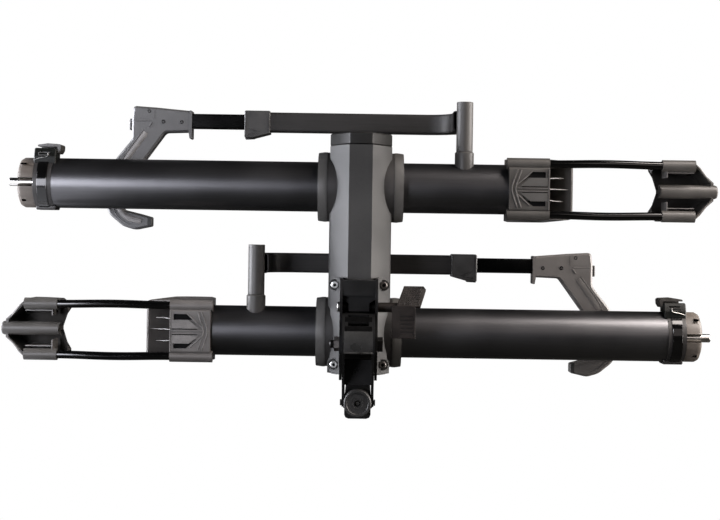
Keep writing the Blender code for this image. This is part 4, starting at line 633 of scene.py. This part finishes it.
def wire(path, radius, sides=8):
    """Rings of a bent wire."""
    last = len(path) - 1
    rings = []
    for index, point in enumerate(path):
        along = (path[min(index + 1, last)] - path[max(index - 1, 0)]).normalized()
        aside = along.cross(Vector((0, -1, 0.2))).normalized()
        above = along.cross(aside)
        rings.append([point + radius * (aside * math.cos(2 * math.pi * step / sides)
                                        + above * math.sin(2 * math.pi * step / sides))
                      for step in range(sides)])
    return rings


for tray in TRAYS:
    body = tray + "_strap_base"
    dressed(tray + "_strap_base", black_nylon, smooth_under=math.radians(50))
    dressed(tray + "_strap", strap_rubber, smooth_under=math.radians(60))
    low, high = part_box(tray + "_strap")
    ribbon = []
    outer, inner = axes[tray].y - low.y + 0.0002, axes[tray].y - low.y - 0.0004
    for step in range(FACE_STEPS + 1):
        turn = math.radians(FACE_FROM + FACE_TURN * step)
        ribbon.append([(x, axes[tray].y - reach * math.cos(turn), axes[tray].z + reach * math.sin(turn))
                       for x, reach in ((low.x + 0.0006, inner), (low.x + 0.0012, outer),
                                        (high.x - 0.0012, outer), (high.x - 0.0006, inner))])
    new_piece(tray + "_strap_face", loft(ribbon), strap_rubber, body)
    dressed(tray + "_strap_buckle", buckle_nylon)
    dressed(tray + "_buckle_lever", lever_nylon)
    bail = [at_tray(tray, *place) for place in BAIL_MM]
    new_piece(tray + "_buckle_bail", loft(wire(bail, BAIL_RADIUS)), satin_steel, body)
    window = [at_tray(tray, x, -34, z) for x, z in WINDOW_MM]
    new_piece(tray + "_buckle_window",
              loft(bead([(p.x, p.z) for p in window], window[0].y, 0.0016, 0.0007, 1.0)), lever_nylon, body)

# Arms
# Each wheel arm turns on a post: a steel sleeve over a pin in a saddle on the tray tube, and a square
# aluminium tube with a nylon collar and latch at its end. A nylon plug closes the sleeve.
POST_PLACE = (0.2050, -0.0150)      # across, and rearward of the tray's axis
TUBE_EDGE_MM = 2.4                  # radius of the square tube's long edges
PLUG_PROFILE = ((-0.0056, 0.0124), (-0.0018, 0.0124), (-0.0008, 0.0114), (-0.0008, 0.0075),
                (-0.0026, 0.0068))          # from the sleeve's top, and its radius
COLLAR_RIBS_MM = (                  # from the collar's mouth, and under its top
    ((3.0, 3.0), (3.0, 41.0)),
    ((10.0, 36.0), (22.0, 41.5), (30.0, 43.5)),
    ((11.0, 47.0), (24.0, 47.5)),
    ((50.0, 3.0), (50.0, 41.0)),
    ((6.0, 47.0), (9.0, 51.0), (7.0, 54.0)))

# Painted steel: a satin charcoal, smooth, that stretches its highlights down the sleeve.
painted_steel = new_finish("charcoal_painted_steel", "#3a3937", 0.48, 0.0, Specular_IOR_Level=0.35)
textured(painted_steel, 1.2, 0.004, 40, ("#353432", "#403f3d"), (0.45, 0.52))
# Black anodised tube, bead-blasted first, so it is duller than the tray tubes.
arm_metal = new_finish("black_anodised_square_tube", "#242322", 0.52, 0.2, Specular_IOR_Level=0.3)
textured(arm_metal, DIE_LINE_MM, 0.003, 90, ("#21201f", "#292827"), (0.49, 0.56), (0.02, 1, 1))
# Black nylon with a coarse matt grain.
collar_nylon = new_finish("moulded_collar_nylon", "#282726", 0.46)
textured(collar_nylon, 0.9, 0.035, 20, ("#232221", "#31302e"), (0.40, 0.54))
for tray in TRAYS:
    body = tray + "_arm"
    dressed(tray + "_arm_post", painted_steel)
    dressed(tray + "_arm_sleeve", painted_steel)
    low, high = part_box(tray + "_arm_tube")
    dressed(tray + "_arm_tube", arm_metal, TUBE_EDGE_MM, math.radians(40), lambda edge: all(
        min(vert.co.z - low.z, high.z - vert.co.z) < 0.0001 for vert in edge.verts))
    dressed(tray + "_arm_collar", collar_nylon)
    dress([tray + "_arm_latch"], black_nylon)
    low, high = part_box(tray + "_arm_sleeve")
    side = 1 if tray == "upper" else -1
    post = (side * POST_PLACE[0], axes[tray].y + POST_PLACE[1], 0)
    plug = turned([(high.z + along, radius) for along, radius in PLUG_PROFILE], "Z", post)
    new_piece(tray + "_post_plug", loft(plug), black_nylon, body)
    low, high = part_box(tray + "_arm_collar")
    mouth = low.x if tray == "upper" else high.x
    ribs = [bead([(mouth + side * off / 1000, high.z - drop / 1000) for off, drop in run],
                 low.y, 0.0022, 0.0014) for run in COLLAR_RIBS_MM]
    new_piece(tray + "_collar_ribs", loft(*ribs), collar_nylon, body)

# Hooks
# The inner tube slides out of the arm and carries a two-part nylon hook, screwed together, with a
# button in its back and a soft tip.
# The places named MM are in millimetres from the hook's mouth, and under its top.
SCREW_PLACES_MM = ((87.9, 10.5), (59.1, 31.7), (21.1, 32.1))
CAP_PLATE_MM = ((76.6, 6.8), (108.0, 4.9), (114.0, 4.9), (117.0, 7.0), (118.6, 25.6), (76.6, 25.6))
CREASES_MM = (
    ((99.3, 49.2), (118.0, 74.0), (134.0, 96.0), (145.5, 118.0)),
    ((161.7, 205.0), (153.0, 224.0), (138.0, 238.0), (124.0, 244.0)),
    ((84.0, 30.6), (104.0, 30.6), (117.5, 30.2)))
STRUT_MM = ((82.0, 33.0), (88.5, 43.0))
RAILS_MM = (
    ((94.0, 54.0), (112.0, 79.0), (128.0, 101.0), (138.0, 118.0)),
    ((150.0, 205.0), (141.0, 220.0), (126.0, 231.0), (101.0, 236.5)))
TIP_BAND_MM = ((80.9, 228.3), (88.4, 226.0), (88.4, 247.5), (80.9, 245.2))

# Grey nylon with glass in it: a fine matt grain and soft highlights. The lower tray's copy is lighter
# and warmer as painted light, and it also dresses the lower inner cradle.
hook_nylon = {
    "upper": textured(new_finish("moulded_grey_nylon", "#484848", 0.44), 1.0, 0.030, 40,
                      ("#424242", "#4f4f4f"), (0.40, 0.50)),
    "lower": textured(new_finish("warm_grey_nylon_painted_light", "#565350", 0.44), 1.0, 0.030, 40,
                      ("#4f4c49", "#5d5a57"), (0.40, 0.50)),
}
# Painted highlight: the same nylon, pale and smooth, on rib tops, rails, gussets and panels where the
# light catches them.
painted_highlight_nylon = new_finish("painted_highlight_nylon_rib", "#656360", 0.34)
textured(painted_highlight_nylon, 0.8, 0.012, 18, ("#545250", "#767370"), (0.28, 0.42))
# Enamel kept clean inside the arm: black, smooth and glossy.
inner_enamel = new_finish("black_enamel_on_inner_tube", "#040404", 0.16, Specular_IOR_Level=0.3)
textured(inner_enamel, ENAMEL_PEEL_MM, 0.002, 60, ("#030303", "#060606"), (0.13, 0.20))
# Soft rubber: dull black, with no clear highlight.
tip_rubber = new_finish("soft_tip_rubber", "#1e1e1d", 0.60)
textured(tip_rubber, 1.5, 0.040, 20, ("#191918", "#262625"), (0.55, 0.68))


def eased(path, steps=5):
    """Run of points on a smooth curve through given points."""
    points = [path[0]] + list(path) + [path[-1]]
    run = []
    for a, b, c, d in zip(points, points[1:], points[2:], points[3:]):
        for step in range(steps):
            t = step / steps
            run.append(tuple(0.5 * (2 * q + (r - p) * t + (2 * p - 5 * q + 4 * r - s) * t * t
                                    + (3 * q - p - 3 * r + s) * t ** 3)
                             for p, q, r, s in zip(a, b, c, d)))
    return run + [tuple(path[-1])]


def slab(corners, reach):
    """Rings of a flat plate, from its corners and its thickness as a vector."""
    return [[Vector(corner) for corner in corners], [Vector(corner) + Vector(reach) for corner in corners]]


for tray in TRAYS:
    body = tray + "_slider"
    side = 1 if tray == "upper" else -1
    dressed(tray + "_arm_inner_tube", inner_enamel)
    dressed(tray + "_hook", hook_nylon[tray])
    dress([tray + "_hook_button"], black_nylon)
    low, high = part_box(tray + "_hook")
    mouth = high.x if tray == "upper" else low.x
    face = low.y + 0.0010

    def on_hook(places):
        """Pairs of x and z on the hook's rear face."""
        return [(mouth - side * off / 1000, high.z - drop / 1000) for off, drop in places]

    def line(places, wide, proud, taper=0.5):
        """Rings of a raised line through places on the hook's rear face."""
        return bead(eased(on_hook(places)), face, wide, proud, taper)

    def plate(places, thick):
        """Rings of a thin plate let into the hook's rear face."""
        return slab([(x, face + 0.0003, z) for x, z in on_hook(places)], (0, -thick, 0))

    new_piece(tray + "_hook_cap_plate", loft(plate(CAP_PLATE_MM, 0.0010)), hook_nylon[tray], body)
    ribs = [line(crease, 0.0022, 0.0010) for crease in CREASES_MM] + [line(STRUT_MM, 0.0030, 0.0014)]
    new_piece(tray + "_hook_ribs", loft(*ribs), hook_nylon[tray], body)
    rails = [line(rail, 0.0120, 0.0012, 0.8) for rail in RAILS_MM]
    # The upper hook's rails take the pale nylon as a painted highlight from the left lamp.
    new_piece(tray + "_hook_rails", loft(*rails), painted_highlight_nylon if tray == "upper" else hook_nylon[tray], body)
    new_piece(tray + "_hook_tip_band", loft(plate(TIP_BAND_MM, 0.0012)), tip_rubber, body)
    screw = loft(turned([(-0.0004, 0.0040), (0.0005, 0.0040), (0.0011, 0.0034), (0.0011, 0.0022),
                         (-0.0002, 0.0018)], "Z", sides=18))
    places = [((x, face, z), (0, -1, 0)) for x, z in on_hook(SCREW_PLACES_MM)]
    set_parts(tray + "_hook_screws", places, screw, black_steel, body, 0.5, 0.0, 5)

# Wheel cradles
# Two steel rods, dipped in gloss black enamel, join a ribbed nylon moulding on the tube's end to one
# at the tip, and the front wheel sits between them.
# The places named MM are in millimetres from the tray's axis.
ROD_RADIUS = 0.0080
ROD_OFFSET = 0.0498         # from the tray's axis
ROD_SPAN = (0.3710, 0.2215)         # where the rods leave the inner moulding, and their free length
ROD_BOW_MM = 1.8            # the rods bow apart a little between the mouldings
ROD_STEPS = 32
WALL_MM = 1.6
RIB_LINES_MM = (
    eased(((308.1, 38.7), (297.9, 8.6), (297.4, -6.3), (307.6, -37.7))),
    eased(((315.5, 38.0), (305.5, 8.6), (305.0, -6.3), (315.0, -37.0))),
    ((336.5, 34.7), (323.2, 22.5), (305.4, 7.2)),
    ((305.6, -9.0), (318.0, -19.8), (331.4, -31.9)),
    ((307, 1.6), (367, 1.6)),
    ((307, -4.4), (367, -4.4)),
    ((368.8, -41), (368.8, 41)))
PANEL_MM = ((366.5, 5.5), (366.5, 22.0), (333.0, 22.0), (314.5, 7.5), (314.5, 5.5))
POCKET_MM = ((362.5, 22.5), (362.5, 33.5), (338.5, 33.5), (326.0, 22.5))
SLIT_MM = ((366.0, 3.4), (366.0, 5.3), (316.0, 5.3), (316.0, 3.4))
GUSSETS_MM = ((22, 24, 404), (1.5, 1.5, 414), (-20, -22, 403))      # level at the root and tip, and reach
SHELVES_MM = ((1, 36.5, 27), (-1, -33.5, 21))       # above or below, its level, and its stop's inner end
OUTER_RIM_MM = ((659.5, 55.5), (669, 46), (681, 29.5), (694, 17))

# Dipped enamel: blacker and glossier than the tongue's, so each lamp shows as a long thin streak.
gloss_enamel = new_finish("gloss_black_enamel", "#040404", 0.08, IOR=1.65)
textured(gloss_enamel, 4.0, 0.001, 60, ("#030303", "#060606"), (0.06, 0.10))
# The same nylon as the collars, from a coarser mould, a little greyer where it is thick.
cradle_nylon = new_finish("moulded_cradle_nylon", "#403e3b", 0.42)
textured(cradle_nylon, 1.0, 0.030, 45, ("#3b3936", "#484643"), (0.38, 0.48))
# Painted shade: black plates on the floors of the moulded pockets and in the slits beside the centre
# ribs, where shade falls.
painted_pocket_shade = new_finish("painted_shade_in_pockets", "#080808", 0.70, Specular_IOR_Level=0.1)
textured(painted_pocket_shade, 1.0, 0.030, 20, ("#060606", "#0b0b0b"), (0.65, 0.75))
for tray in TRAYS:
    side = 1 if tray == "upper" else -1
    for sign, name in ((-1, "low"), (1, "high")):
        node = "%s_cradle_rod_%s" % (tray, name)
        low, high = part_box(node)
        middle = (low.y + high.y) / 2
        rings = []
        for step in range(ROD_STEPS + 1):
            x = low.x + (high.x - low.x) * step / ROD_STEPS
            share = min(max((side * x - ROD_SPAN[0]) / ROD_SPAN[1], 0), 1)
            z = axes[tray].z + sign * (ROD_OFFSET + ROD_BOW_MM / 1000 * math.sin(math.pi * share) ** 2)
            rings.append(turned([(x, ROD_RADIUS)], "X", (0, middle, z), 24)[0])
        rod = new_piece(node + "_finished", loft(rings), gloss_enamel, "spine")
        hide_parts(node)
    # The lower inner cradle takes the lower hook's lighter nylon as painted light.
    dressed(tray + "_cradle_inner", cradle_nylon if tray == "upper" else hook_nylon[tray])
    dressed(tray + "_cradle_outer", cradle_nylon)
    ribs = []
    for run in RIB_LINES_MM:
        path = [at_tray(tray, x, -57, z) for x, z in run]
        ribs.append(bead([(p.x, p.z) for p in path], path[0].y, 0.0026, 0.0020))
    # The ribs' pale nylon is a painted highlight.
    new_piece(tray + "_inner_cradle_ribs", loft(*ribs), painted_highlight_nylon, "spine")
    # Black plates on the pockets' floors and in the slits are painted shade.
    panels, shade_plates = [], []
    for flip in (1, -1):
        panels.append(slab([at_tray(tray, x, -56.5, z if flip > 0 else -z - 2.0) for x, z in PANEL_MM],
                           (0, -WALL_MM / 1000, 0)))
        shade_plates.append(slab([at_tray(tray, x, -52.6, z * flip) for x, z in POCKET_MM], (0, -0.0004, 0)))
        shade_plates.append(slab([at_tray(tray, x, -56.8, z if flip > 0 else -z - 2.4) for x, z in SLIT_MM],
                           (0, -0.0004, 0)))
    # The panels' lighter nylon is a painted highlight, paler still on the lower tray as painted light.
    new_piece(tray + "_inner_cradle_panels", loft(*panels), highlight_band_nylon if tray == "upper" else painted_highlight_nylon,
              "spine")
    new_piece(tray + "_inner_cradle_pocket_floors", loft(*shade_plates), painted_pocket_shade, "spine")
    gussets = []
    for root, tip, reach in GUSSETS_MM:
        wall = [(368, -34, root), (368, 22, root), (384, 14, (root + tip) / 2), (reach - 8, 2, tip),
                (reach, -8, tip), (reach - 16, -14, tip)]
        gussets.append(slab([at_tray(tray, x, y, z - WALL_MM / 2) for x, y, z in wall],
                            (0, 0, WALL_MM / 1000)))
    # The gussets' pale nylon is a painted highlight.
    new_piece(tray + "_inner_cradle_gussets", loft(*gussets), painted_highlight_nylon, "spine")
    walls = []
    for sign, level, foot in SHELVES_MM:
        shelf = [(603, -45), (656, -45), (656, 26), (603, 4)]
        walls.append(slab([at_tray(tray, x, y, level - WALL_MM / 2) for x, y in shelf],
                          (0, 0, WALL_MM / 1000)))
        stop = [(-46, 44), (-46, foot), (4, foot), (4, 44)]
        walls.append(slab([at_tray(tray, 603 - WALL_MM / 2, y, sign * z) for y, z in stop],
                          (side * WALL_MM / 1000, 0, 0)))
        rim = [at_tray(tray, x, -36, sign * z) for x, z in OUTER_RIM_MM]
        walls.append(bead([(p.x, p.z) for p in rim], rim[0].y, 0.0030, 0.0012))
    # The walls' and rims' pale nylon is a painted highlight.
    new_piece(tray + "_outer_cradle_ribs", loft(*walls), painted_highlight_nylon, "spine")
